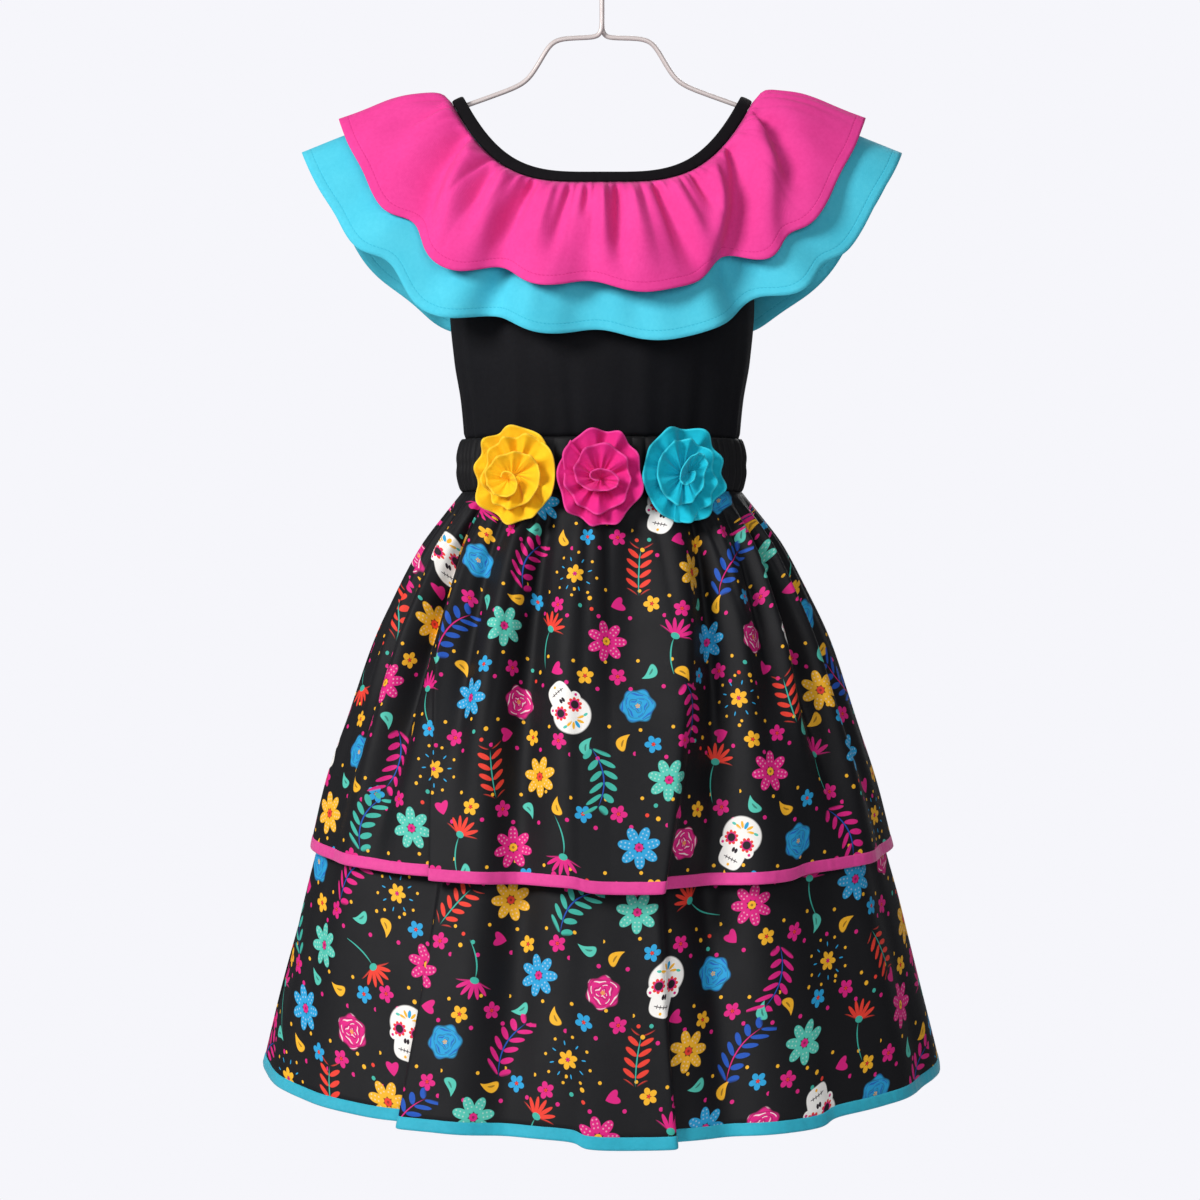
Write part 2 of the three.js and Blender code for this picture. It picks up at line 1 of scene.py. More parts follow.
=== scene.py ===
"""The finished look of a child's tiered fiesta dress on a bent-wire hanger.

Sizes are in millimetres until a piece is made. The front faces -Y, and the origin is the inside
top of the hanger's hook. Every cloth is a surface place(around, down): around is an angle in
degrees from the centre front, with 90 on the +X side, and down runs from 0 at the piece's top
seam to 1 at its lower edge.
"""

import math
from collections import namedtuple

import bmesh
import bpy
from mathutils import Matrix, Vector, noise


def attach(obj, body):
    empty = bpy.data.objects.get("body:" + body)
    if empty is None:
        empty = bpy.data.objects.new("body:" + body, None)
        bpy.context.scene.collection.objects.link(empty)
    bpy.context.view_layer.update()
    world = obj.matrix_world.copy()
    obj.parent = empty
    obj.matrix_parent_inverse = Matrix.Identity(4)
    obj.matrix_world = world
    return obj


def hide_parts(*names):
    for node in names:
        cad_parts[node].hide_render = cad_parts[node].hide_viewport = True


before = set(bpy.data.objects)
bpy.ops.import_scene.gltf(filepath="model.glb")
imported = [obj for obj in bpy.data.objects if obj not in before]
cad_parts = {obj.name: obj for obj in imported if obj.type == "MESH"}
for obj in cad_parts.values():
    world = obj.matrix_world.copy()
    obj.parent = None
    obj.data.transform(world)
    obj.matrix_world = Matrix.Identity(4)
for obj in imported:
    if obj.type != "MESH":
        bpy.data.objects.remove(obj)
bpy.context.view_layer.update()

MM = 0.001
TURN = 2 * math.pi

# Walls of the real cloths
COTTON = 0.55
BODICE_CLOTH = 0.6

Level = namedtuple("Level", "down width depth")
Valley = namedtuple("Valley", "neck hem back rise tuck wide")
Fold = namedtuple("Fold", "hem waist level dip tuck wide soft")
Crease = namedtuple("Crease", "top low end depth wide")

# Neck seam
NECK_WIDTH = 98
NECK_DEPTH = 50
NECK_FRONT_Z = -187
NECK_SHOULDER_Z = -129.6
NECK_ROUNDNESS = 3.6
FLOUNCE_SPACING = 1.48  # from one cloth to the next at the neck seam

# Waistband
BAND_TOP_Z = -349
BAND_LOW_Z = -383
BAND_WIDTH = 91
BAND_DEPTH = 46.5
BAND_BULGE = 2.6
BAND_GATHER = 2.4
BAND_GATHERS = 62
BAND_CHANNEL = 0.7  # how deep the seam along its middle is
BAND_INSET = 0.7
BAND_CLOTH = 0.8

# Bodice: half width and half depth at each height
BODICE_LEVELS = [
    Level(130, 95.2, 47.2),
    Level(190, 95.6, 47.2),
    Level(230, 98, 52),
    Level(262, 99, 56),
    Level(298, 96, 55),
    Level(324, 91.5, 51),
    Level(348.7, 88.5, 45.5),
]
ARMHOLE_ANGLE = 62
UNDERARM_Z = -258
ARMHOLE_HOLLOW = 2.2
BODICE_TOP_FRONT = 0.4  # its upper edge over the neck seam, at the front and the side
BODICE_TOP_SIDE = -2
WAIST_PUCKER = 0.75
WAIST_PUCKER_FADE = 26

# Flounces: where the lower edge lies, how far the cloth puffs over the straight line to it, and how
# its waves grow. Valleys run straight down past the share of the length named reach.
Flounce = namedtuple(
    "Flounce", "layer width depth shoulder front roundness puff waves growth reach turn"
)
PINK_FLOUNCE = Flounce(0, 170, 80, -142.6, -256, 4.2, 7, 1, 0.95, 1, 0)
AQUA_FLOUNCE = Flounce(1, 195, 75, -162.6, -286, 3.7, 2.8, 0.95, 0.6, 0.74, 2)
SHOULDER_LIFT = 0.8  # how much of a flounce's puff points upwards at the shoulder
PUFF_EARLY = 0.7  # under 1, the puff is fullest above the middle

# Gathers at the neck seam: how far they stand, how many there are all round, the share of the length
# in which they rise, and the one in which they fade
Gather = namedtuple("Gather", "height seed count rise fade")
NECK_TUCKS = Gather(3.2, 4.3, 118, 0.02, 0.12)
NECK_GATHERS = Gather(5.2, 1.7, 54, 0.04, 0.3)
SEAM_STAND = 0.9  # of the upper flounce over its seam, and how much more it gains below
SEAM_PUFF = 1.1
SEAM_TUCK = 1.5  # how far its edge goes in under the binding
SEAM_TUCK_FADE = 0.025
CREASE_START = 0.1  # the share of the length in which the creases rise
SAME_LEVEL = 0.74  # the lower flounce's share of length under the upper one's edge
FLOUNCE_ROOM = 13.5  # between the two flounces at the upper one's edge
FLOUNCE_CLEARANCE = 0.6
FLOUNCE_TOUCH = 0.9  # how softly the upper flounce comes to rest on the lower one
LOWER_SINK = 1.6  # how far the lower flounce sinks under the upper one, down to this share
LOWER_SINK_END = 0.6

# Valleys of both flounces: their angles at the neck and the lower edge, and how far they fall back,
# rise and tuck there
FLOUNCE_VALLEYS = [
    Valley(-74, -66, 5, 2, 1, 6),
    Valley(-60, -48, 10, 15, 3, 5.5),
    Valley(-27, -24, 13, 11, 2, 6.5),
    Valley(-4, -3, 8, 4, 0, 5.5),
    Valley(5, 9, -3, -4, 0, 7),
    Valley(52, 30, 15, 15, -4, 6.5),
    Valley(58, 46, 7, 8, -2, 4.5),
    Valley(72, 65, 5, 1, -1, 6),
    Valley(108, 118, 6, 1, 2, 6.5),
    Valley(128, 139, 9, 1, 3, 6.5),
    Valley(150, 158, 13, 11, 3, 7),
    Valley(178, 177, 7, 4, 0, 5.5),
    Valley(207, 199, 13, 11, -3, 7),
    Valley(232, 220, 9, 1, -3, 6.5),
    Valley(252, 242, 6, 1, -2, 6.5),
]

# Creases of the upper flounce, from the neck seam outwards
FLOUNCE_CREASES = [
    Crease(-76, -66, 0.9, -4.4, 4.0),
    Crease(-60, -46, 1.1, -8.5, 4.4),
    Crease(-50, -37, 0.9, 5.0, 3.8),
    Crease(-42, -33, 0.6, -4.0, 2.8),
    Crease(-34, -30, 0.9, 4.2, 3.0),
    Crease(-25, -26, 1.1, -6.6, 3.4),
    Crease(-17, -17, 0.7, 3.6, 2.6),
    Crease(-11, -13, 0.8, -3.8, 2.2),
    Crease(-5, -4.5, 0.4, -3.4, 2.0),
    Crease(0.5, 0, 0.9, 3.6, 2.4),
    Crease(5, 4, 0.9, -4.8, 2.2),
    Crease(10.5, 11, 0.9, 3.4, 3.0),
    Crease(19, 22, 1.1, -5.6, 3.0),
    Crease(25, 27, 0.8, 3.6, 2.8),
    Crease(33, 33, 0.6, -2.8, 2.8),
    Crease(42, 25, 0.9, 4.4, 3.4),
    Crease(53, 31, 1.0, -6.2, 4.0),
    Crease(63, 41, 0.8, 4.2, 3.8),
    Crease(73, 48, 1.0, -6.4, 4.2),
    Crease(104, 108, 0.7, -2.6, 4.0),
    Crease(122, 136, 1.0, -5.2, 4.4),
    Crease(133, 143, 0.6, 3.0, 3.4),
    Crease(143, 150, 0.5, -2.6, 2.6),
    Crease(152, 157, 0.95, -4.4, 3.4),
    Crease(163, 164, 0.6, 2.8, 2.6),
    Crease(171, 171, 0.8, -3.2, 2.4),
    Crease(178, 177, 1.0, -4.2, 2.6),
    Crease(186, 186, 0.5, 2.6, 2.6),
    Crease(196, 194, 0.8, -3.4, 2.8),
    Crease(206, 200, 1.0, -4.8, 3.6),
    Crease(217, 208, 0.6, 3.0, 3.4),
    Crease(230, 219, 0.95, -5.0, 4.4),
    Crease(243, 236, 0.6, 2.6, 3.6),
    Crease(256, 250, 0.8, -2.8, 4.0),
]

# Creases of the lower flounce: they run on over its edge
LOWER_CREASES = [
    Crease(-66, -66, 2, -3.6, 4),
    Crease(-52, -50, 2, 3.9, 4.4),
    Crease(-38, -37, 2, -4.2, 3.6),
    Crease(-24, -23.5, 2, -5.1, 2.8),
    Crease(-16, -16, 2, 4.8, 3.2),
    Crease(-4, -5, 2, -2.7, 3),
    Crease(8, 7, 2, -4.2, 3),
    Crease(21, 22, 2, 4.8, 3.8),
    Crease(30, 29, 2, -5.4, 2.8),
    Crease(43, 42, 2, 3.9, 4.2),
    Crease(58, 57, 2, -3.9, 4),
    Crease(72, 72, 2, 2.7, 4.4),
    Crease(112, 113, 2, -3.6, 4),
    Crease(128, 128, 2, 3.9, 4.4),
    Crease(143, 144, 2, -4.8, 3.4),
    Crease(157, 157, 2, 4.2, 3.4),
    Crease(168, 169, 2, -3.9, 3),
    Crease(184, 183, 2, -3.3, 3.2),
    Crease(197, 197, 2, 4.2, 3.6),
    Crease(208, 209, 2, -5.1, 3),
    Crease(224, 224, 2, 3.6, 4),
    Crease(244, 243, 2, -3.9, 4.2),
]

# Skirt folds, the same for both tiers
SKIRT_FOLDS = [
    Fold(-33.5, -53, 8, 1.5, 12, 2.2, False),
    Fold(-3.6, -15, 15, 6, 5, 3.2, True),
    Fold(11.2, 33, 7, 3, 10, 2.3, False),
    Fold(40, 63, 0, 0, 4, 4, True),
    Fold(132, 124, 8, 3, 10, 2.3, False),
    Fold(163, 152, 15, 6, 5, 3.2, True),
    Fold(189, 199, 7, 2, 9.5, 2.3, False),
    Fold(224, 232, 0, 0, 4, 4, True),
]
HEM_ROUNDNESS = 0.9  # how early each hem drops from the side to the front
FOLD_EDGE = 0.74
WAIST_GATHER = 6.8  # how far the gathers stand, how many there are, and how they grow and fade
WAIST_GATHERS = 36
GATHER_START = 0.12
GATHER_GROW = 0.16
GATHER_FADE = 0.34
SKIRT_RUMPLE = 2.2

# Creases of both tiers. Their angles are at the waist and at the upper tier's hem, and they end at a
# share of that tier's height: past 1 they run on down the lower tier.
SKIRT_CREASES = [
    Crease(-78, -76, 1.1, -3.0, 4.0),
    Crease(-58, -70, 2.0, -4.6, 4.4),
    Crease(-46, -61, 1.0, 5.0, 4.0),
    Crease(-36, -52, 1.1, -12.5, 3.6),
    Crease(-27, -42, 1.0, 4.4, 3.6),
    Crease(-20, -31, 0.9, -5.0, 3.0),
    Crease(-13, -24, 2.2, 5.0, 4.0),
    Crease(-6, -16, 2.2, -11.5, 3.6),
    Crease(0, -7, 2.2, 4.4, 3.4),
    Crease(4.5, 2, 0.6, -5.0, 2.6),
    Crease(8, 11, 2.2, 5.0, 3.6),
    Crease(13, 21, 2.2, -12.5, 3.6),
    Crease(20, 30, 1.8, 4.6, 3.8),
    Crease(27, 38, 0.6, -5.0, 3.2),
    Crease(33, 47, 1.0, 4.6, 3.8),
    Crease(40, 57, 0.95, -10.5, 3.8),
    Crease(50, 66, 1.4, 4.0, 4.0),
    Crease(64, 74, 2.0, -4.6, 4.4),
    Crease(104, 108, 2.0, -4.2, 4.4),
    Crease(122, 112, 1.2, 4.0, 4.0),
    Crease(139, 124, 1.0, -10.5, 3.8),
    Crease(147, 134, 0.9, 4.6, 3.8),
    Crease(154, 144, 0.6, -5.0, 3.2),
    Crease(160, 150, 2.0, 4.8, 3.8),
    Crease(167, 159, 2.2, -12.0, 3.6),
    Crease(173, 169, 2.0, 4.8, 3.6),
    Crease(178, 178, 0.7, -5.0, 2.8),
    Crease(182, 187, 2.2, 4.6, 3.4),
    Crease(187, 197, 2.2, -11.0, 3.6),
    Crease(195, 206, 1.6, 4.8, 4.0),
    Crease(203, 215, 0.7, -5.0, 3.2),
    Crease(210, 223, 1.0, 4.4, 3.6),
    Crease(217, 233, 1.1, -11.5, 3.8),
    Crease(228, 243, 1.2, 4.6, 4.0),
    Crease(243, 252, 2.0, -4.6, 4.4),
]

Tier = namedtuple("Tier", "side front dips tucks level_growth tuck_growth gathers levels")
WAIST_SEAM_Z = -383.3
UPPER_TIER = Tier(
    229.5,
    247,
    1,
    0.6,
    0.65,
    2,
    1,
    [
        Level(0, 90.8, 46.2),
        Level(15, 102.5, 49),
        Level(35, 117, 55),
        Level(64, 132.5, 65),
        Level(96, 147.5, 75),
        Level(151, 167, 87),
        Level(190, 180, 93),
        Level(229.5, 190, 98),
    ],
)
LOWER_TIER = Tier(
    371,
    402,
    1.3,
    1,
    1,
    3.2,
    0,
    [
        Level(0, 89.1, 44.5),
        Level(35, 109, 49),
        Level(96, 141, 67),
        Level(190, 175.5, 83),
        Level(229.5, 184, 88),
        Level(265, 193.6, 94),
        Level(304, 203.4, 101),
        Level(371, 220, 111),
    ],
)
BINDING_WIDTH = 7.6
BINDING_WALL = 1.5

# Hanger wire
WIRE = 3.2
HOOK_RADIUS = 19
HOOK_OPEN_ANGLE = 215
CROSS_Z = -88
CROSS_HALF = 30
WIRE_SHOULDER = (62, -121.5)
WIRE_TIP = (172, -162.7)
STEM_JOIN_Z = -52
STEM_DEPTH = WIRE / 2 + 0.19

# Rosettes: place on the waistband, turn in plan, spin and bud. A bud has its place from the middle,
# how oval it is, and its tilt in degrees.
Rosette = namedtuple("Rosette", "name x z turn spin bud colours slot")
Bud = namedtuple("Bud", "x z oval tilt")


def mix(a, b, share):
    return a + (b - a) * share


def clamp(value, low=0.0, high=1.0):
    return min(max(value, low), high)


def smooth(low, high, value):
    share = clamp((value - low) / (high - low))
    return share * share * (3 - 2 * share)


def through(rows, key, value):
    """A smooth curve through two columns of a table, with no overshoot."""
    x = [getattr(row, key) for row in rows]
    y = [getattr(row, value) for row in rows]
    chord = [(y[i + 1] - y[i]) / (x[i + 1] - x[i]) for i in range(len(x) - 1)]
    slope = [chord[0]]
    for before, after in zip(chord, chord[1:]):
        slope.append(0 if before * after <= 0 else 2 * before * after / (before + after))
    slope.append(chord[-1])

    def curve(at):
        inside = clamp(at, x[0], x[-1])
        i = 0
        while i < len(x) - 2 and inside > x[i + 1]:
            i += 1
        span = x[i + 1] - x[i]
        t = (inside - x[i]) / span
        bend = (2 * t - 3) * t * t + 1
        ends = t * (1 - t) * (1 - t) * span * slope[i] - t * t * (1 - t) * span * slope[i + 1]
        return bend * y[i] + (1 - bend) * y[i + 1] + ends

    return curve


def step_up(q):
    return 0.5 * (1 + math.tanh(0.9 * q))


def step_out(q, edge):
    return 0.5 + 0.25 * (math.tanh(4 * (q + edge)) + math.tanh(4 * (q - edge)))


def sideways(q):
    return q * math.exp((1 - q * q) / 2)


def dent(q):
    return math.exp(-q * q)


def turn_from(around, centre):
    return (around - centre + 180) % 360 - 180


def plan_directions(angle, width, depth):
    """The outward direction and the one along an ellipse in plan, at an angle."""
    along = Vector((width * math.cos(angle), depth * math.sin(angle), 0)).normalized()
    return along, Vector((along.y, -along.x, 0))


def spread(around):
    """How much cloth a degree holds, against a degree at the centre front."""
    angle = math.radians(around)
    return math.hypot(math.cos(angle), 0.5 * math.sin(angle))


def creases(table, around, down):
    """How far a table of creases lifts the cloth off its form."""
    scale = spread(around)
    lift = 0
    for crease in table:
        share = min(1, down)
        wide = crease.wide * mix(0.5, 1.2, share)
        q = turn_from(around, mix(crease.top, crease.low, share)) * scale / wide
        if abs(q) < 2.6:
            fade = 1 - smooth(0.5 * crease.end, 1.1 * crease.end, down)
            lift += crease.depth * mix(1.3, 0.9, share) * dent(q) * fade
    return lift


def ripple(around, seed, *counts):
    """An uneven ripple round the body, from -1 to 1."""
    angle = math.radians(around)
    drift = 0.6 * math.sin(3 * angle + seed) + 0.4 * math.sin(7 * angle + 2.3 * seed)
    waves = sum(math.sin(count * angle + seed * (k + 1) + drift) for k, count in enumerate(counts))
    return waves / len(counts)


def gathers(around, seed, count):
    """Uneven rounded tubes round the body with narrow valleys between them, from 0 to 1."""
    angle = math.radians(around)
    drift = 1.5 * math.sin(3 * angle + seed) + 0.9 * math.sin(7 * angle + 2.3 * seed)
    drift += 0.6 * math.sin(17 * angle + 0.7 * seed)
    size = 0.7 + 0.3 * math.sin(11 * angle + 1.9 * seed)
    return size * abs(math.sin(count * angle / 2 + drift)) ** 0.7


def rumple(point, scale, seed):
    """A soft, uneven lift of the cloth at a place."""
    return noise.noise(Vector(point) / scale + Vector((seed, 0, 0)))


# Flounces


def neck_z(angle):
    return mix(NECK_FRONT_Z, NECK_SHOULDER_Z, abs(math.sin(angle)) ** NECK_ROUNDNESS)


def neck_seam(around, layers):
    angle = math.radians(around)
    climb = abs(math.sin(angle)) ** NECK_ROUNDNESS
    up = mix(0.36, 0.96, climb)
    level = math.sqrt(1 - up * up)
    into = layers * FLOUNCE_SPACING
    side = math.sin(angle)
    front = -math.cos(angle)
    return Vector(
        (
            NECK_WIDTH * side - level * side * into,
            NECK_DEPTH * front - level * front * into,
            neck_z(angle) - up * into,
        )
    )


def never_under(value, floor, softness):
    """value, eased so that it stays over the floor."""
    return floor + softness * math.log1p(math.exp((value - floor) / softness))


def flounce_puff(flounce, down):
    return flounce.puff * math.sin(math.pi * down**PUFF_EARLY)


def seam_gathers(gather, around, down, fade):
    height = gather.height * gathers(around, gather.seed, gather.count)
    return height * min(1, down / gather.rise) * math.exp(-down / fade)


def upper_flounce_rise(around, down):
    """How far the upper flounce stands over the straight line from its seam to its edge."""
    angle = math.radians(around)
    fade = NECK_GATHERS.fade + 0.12 * math.sin(9 * angle + 1.1) + 0.07 * math.sin(23 * angle)
    rise = flounce_puff(PINK_FLOUNCE, down)
    rise += seam_gathers(NECK_GATHERS, around, down, fade)
    rise += seam_gathers(NECK_TUCKS, around, down, NECK_TUCKS.fade)
    fold = creases(FLOUNCE_CREASES, around, down) + SEAM_PUFF
    rise += SEAM_STAND + fold * min(1, down / CREASE_START)
    rise += 1.6 * rumple((around / 9, down * 2, 0), 1, 3) * smooth(0.1, 0.4, down)
    floor = flounce_puff(AQUA_FLOUNCE, SAME_LEVEL * down) - FLOUNCE_CLEARANCE - FLOUNCE_ROOM * down
    rise = never_under(rise, floor, FLOUNCE_TOUCH)
    return rise - SEAM_TUCK * math.exp(-down / SEAM_TUCK_FADE)


def lower_flounce_rise(around, down):
    """How far the lower flounce stands over the straight line from its seam to its edge."""
    rise = flounce_puff(AQUA_FLOUNCE, down)
    rise -= LOWER_SINK * math.sin(math.pi * min(1, down / LOWER_SINK_END))
    rise += creases(LOWER_CREASES, around, down) * smooth(0.3, 0.85, down)
    return rise + rumple((around / 7, down * 2, 0), 1, 8) * smooth(0.2, 0.6, down)


def flounce_place(flounce):
    def place(around, down):
        angle = math.radians(around)
        top = neck_seam(around, flounce.layer)
        climb = abs(math.sin(angle)) ** flounce.roundness
        edge = Vector(
            (
                flounce.width * math.sin(angle),
                -flounce.depth * math.cos(angle),
                mix(flounce.front, flounce.shoulder, climb),
            )
        )
        along, out = plan_directions(angle, flounce.width, flounce.depth)
        lift = out * math.sqrt(1 - SHOULDER_LIFT * climb)
        lift.z = math.sqrt(SHOULDER_LIFT * climb)
        back = risen = tuck = 0
        to_edge = min(1, down / flounce.reach)
        for valley in FLOUNCE_VALLEYS:
            line = mix(valley.neck, valley.hem, to_edge)
            share = dent(turn_from(around - flounce.turn, line) / valley.wide)
            back += valley.back * share
            risen += valley.rise * share
            tuck += valley.tuck * share
        grow = down**flounce.growth * flounce.waves
        if flounce.layer == 0:
            rise = upper_flounce_rise(around, down)
        else:
            rise = lower_flounce_rise(around, down)
        point = top.lerp(edge, down)
        point += lift * rise
        point -= out * (back * grow * (1 - climb))
        point += along * (tuck * grow)
        point.z += risen * grow * (1 - climb)
        return point

    return place


def squared(value, power):
    """A sine or cosine made squarer, so that a round section grows flat sides."""
    return math.copysign(abs(value) ** power, value)


# Neck binding: half its thickness, how far it sits in from the seam, and how far its upper edge
# leans in and stands up at the side and the front
NECK_ROLL = 1.5
NECK_ROLL_IN = 1.1
NECK_LEAN_SIDE = 8
NECK_LEAN_FRONT = 3.6
NECK_TALL_SIDE = 3.8
NECK_TALL_FRONT = 7.4


def neck_binding_place(around, section):
    """The binding as a soft flattened roll: section runs once round its thickness."""
    angle = math.radians(around)
    climb = abs(math.sin(angle)) ** NECK_ROUNDNESS
    turn = TURN * section
    share = 0.5 + 0.46 * squared(math.cos(turn), 0.7)
    thick = NECK_ROLL * squared(math.sin(turn), 0.6) - NECK_ROLL_IN
    tuck = 0.35 * ripple(around, 0.6, 71, 97) * math.exp(-share * 3)
    up = mix(0.42, 0.9, climb)
    out = (thick + tuck) * math.sqrt(1 - up * up)
    return Vector(
        (
            (NECK_WIDTH - NECK_LEAN_SIDE * share + out) * math.sin(angle),
            -(NECK_DEPTH - NECK_LEAN_FRONT * share + out) * math.cos(angle),
            neck_z(angle) + mix(NECK_TALL_FRONT, NECK_TALL_SIDE, climb) * share + thick * up,
        )
    )


# Bodice and waistband

bodice_width = through(BODICE_LEVELS, "down", "width")
bodice_depth = through(BODICE_LEVELS, "down", "depth")

# Soft creases of the bodice above the waistband, and at the underarm
BODICE_CREASES = [
    Crease(-70, -74, 0.8, -1.2, 5),
    Crease(-38, -30, 0.9, 1.3, 6),
    Crease(-12, -16, 0.7, -1.0, 5),
    Crease(18, 14, 0.85, 1.2, 6),
    Crease(46, 38, 0.9, -1.2, 6),
    Crease(72, 76, 0.8, 1.0, 5),
    Crease(112, 108, 0.8, -1.2, 5),
    Crease(150, 156, 0.9, 1.2, 6),
    Crease(186, 180, 0.7, -1.0, 6),
    Crease(222, 230, 0.85, 1.3, 6),
    Crease(250, 246, 0.8, -1.1, 5),
]


def bodice_top_z(around):
    from_centre = min(abs(turn_from(around, 0)), abs(turn_from(around, 180)))

    def seam_z(away):
        over_seam = mix(BODICE_TOP_FRONT, BODICE_TOP_SIDE, (away / 90) ** 2)
        return neck_z(math.radians(away)) + over_seam

    if from_centre <= ARMHOLE_ANGLE:
        return seam_z(from_centre)
    share = (from_centre - ARMHOLE_ANGLE) / (90 - ARMHOLE_ANGLE)
    return mix(seam_z(ARMHOLE_ANGLE), UNDERARM_Z, 1 - (1 - share) ** ARMHOLE_HOLLOW)


def bodice_place(around, down):
    angle = math.radians(around)
    bottom = -BODICE_LEVELS[-1].down
    z = mix(bodice_top_z(around), bottom, down)
    near_waist = math.exp(-(z - bottom) / WAIST_PUCKER_FADE) * min(1, (z - bottom) / 4 + 0.2)
    lift = WAIST_PUCKER * (1 + ripple(around, 4.1, 19, 29, 41)) * near_waist
    lift += creases(BODICE_CREASES, around, 1 - down)
    return Vector(
        (
            (bodice_width(-z) + lift) * math.sin(angle),
            -(bodice_depth(-z) + lift) * math.cos(angle),
            z,
        )
    )


def band_place(around, down):
    """The waistband: a puffed strip, gathered finely over its elastic."""
    angle = math.radians(around)
    swell = math.sin(math.pi * clamp(down, 0.001, 0.999)) ** 0.6
    pleat = BAND_GATHER * gathers(around, 2.9, BAND_GATHERS)
    channel = -BAND_CHANNEL * dent((down - 0.5) / 0.1)
    out = BAND_BULGE * swell + (pleat + channel) * mix(0.35, 1, swell) - BAND_INSET
    slanted = angle + math.radians(0.28) * math.sin(5 * angle + 4 * down)
    return Vector(
        (
            (BAND_WIDTH + out) * math.sin(slanted),
            -(BAND_DEPTH + out) * math.cos(slanted),
            mix(BAND_TOP_Z, BAND_LOW_Z, down),
        )
    )


# Skirt


def skirt_folds(around, tuck_share):
    edge = FOLD_EDGE * tuck_share**0.4
    level = dip = tuck = 0
    before = Fold(0, 0, 0, 0, 0, 1, False)
    for fold in SKIRT_FOLDS:
        q = (around - fold.hem) / fold.wide
        rise = step_up(q) if fold.soft else step_out(q, edge)
        level += (fold.level - before.level) * rise
        dip += (fold.dip - before.dip) * step_up(q)
        tuck -= fold.tuck * sideways(q)
        before = fold
    return level, dip, tuck


def straight_fold(angle):
    return Fold(angle, angle, 0, 0, 0, 1, False)


FOLD_LINES = [
    straight_fold(-90),
    *SKIRT_FOLDS[:4],
    straight_fold(90),
    *SKIRT_FOLDS[4:],
    straight_fold(270),
]
waist_angle = through(FOLD_LINES, "hem", "waist")


def tier_place(tier):
    half_width = through(tier.levels, "down", "width")
    half_depth = through(tier.levels, "down", "depth")

    def place(around, down):
        level = down * tier.side
        to_hem = min(1, level / UPPER_TIER.side) ** 0.8
        angle = math.radians(mix(waist_angle(around), around, to_hem))
        width = half_width(level)
        depth = half_depth(level)
        level_share = down**tier.level_growth
        towards_hem = down**tier.tuck_growth
        tuck_share = tier.tucks * towards_hem
        stand, dip, tuck = skirt_folds(around, tuck_share)
        along, out = plan_directions(angle, width, depth)
        at_waist = math.degrees(angle)
        gather = tier.gathers * WAIST_GATHER * gathers(at_waist, 0.9, WAIST_GATHERS) * spread(at_waist)
        gather *= mix(GATHER_START, 1, smooth(0, GATHER_GROW, down)) * math.exp(-down / GATHER_FADE)
        run = level / UPPER_TIER.side
        lift = creases(SKIRT_CREASES, around, run) * smooth(0, CREASE_START, down)
        lift *= mix(0.5, 1, smooth(0, 0.4, run))
        rumpled = rumple((around / 11, down * tier.side / 90, tier.side), 1, 5)
        lift += SKIRT_RUMPLE * rumpled * smooth(0.1, 0.5, down)
        front = tier.front - tier.side
        drop = tier.side + front * abs(math.cos(math.radians(around))) ** HEM_ROUNDNESS
        point = Vector((width * math.sin(angle), -depth * math.cos(angle), WAIST_SEAM_Z))
        point += out * (stand * level_share + gather + lift)
        point += along * (tuck * tuck_share)
        point.z -= down * drop + dip * tier.dips * towards_hem
        return point

    return place


def binding_place(tier):
    """A tier's binding as a flattened roll round the cloth's lower edge."""
    cloth_place = tier_place(tier)
    share = BINDING_WIDTH / tier.side

    def place(around, section):
        turn = TURN * section
        down = 0.5 - 0.49 * squared(math.cos(turn), 0.45)
        thick = squared(math.sin(turn), 0.5)
        at = 1 - share + share * down
        before = cloth_place(around - 0.4, at)
        after = cloth_place(around + 0.4, at)
        out = Vector((after.y - before.y, before.x - after.x, 0)).normalized()
        pucker = 0.12 * ripple(around, 1.3, 131, 173)
        return cloth_place(around, at) + out * (thick * (BINDING_WALL / 2 + pucker) - 0.45)

    return place


# Making cloth


def arc_lengths(place, angles, down):
    """The distance along the cloth from the first angle to each of them."""
    total = [0.0]
    for before, after in zip(angles, angles[1:]):
        total.append(total[-1] + (place(after, down) - place(before, down)).length)
    return total


def angle_by_length(place, start, end, down):
    """Turns a share of the cloth's own length into an angle, and gives that length."""
    angles = [mix(start, end, i / 1200) for i in range(1201)]
    lengths = arc_lengths(place, angles, down)

    def angle(share):
        wanted = share * lengths[-1]
        low, high = 0, len(lengths) - 1
        while high - low > 1:
            middle = (low + high) // 2
            low, high = (middle, high) if lengths[middle] <= wanted else (low, middle)
        span = max(lengths[high] - lengths[low], 1e-9)
        return mix(angles[low], angles[high], (wanted - lengths[low]) / span)

    return angle, lengths[-1]


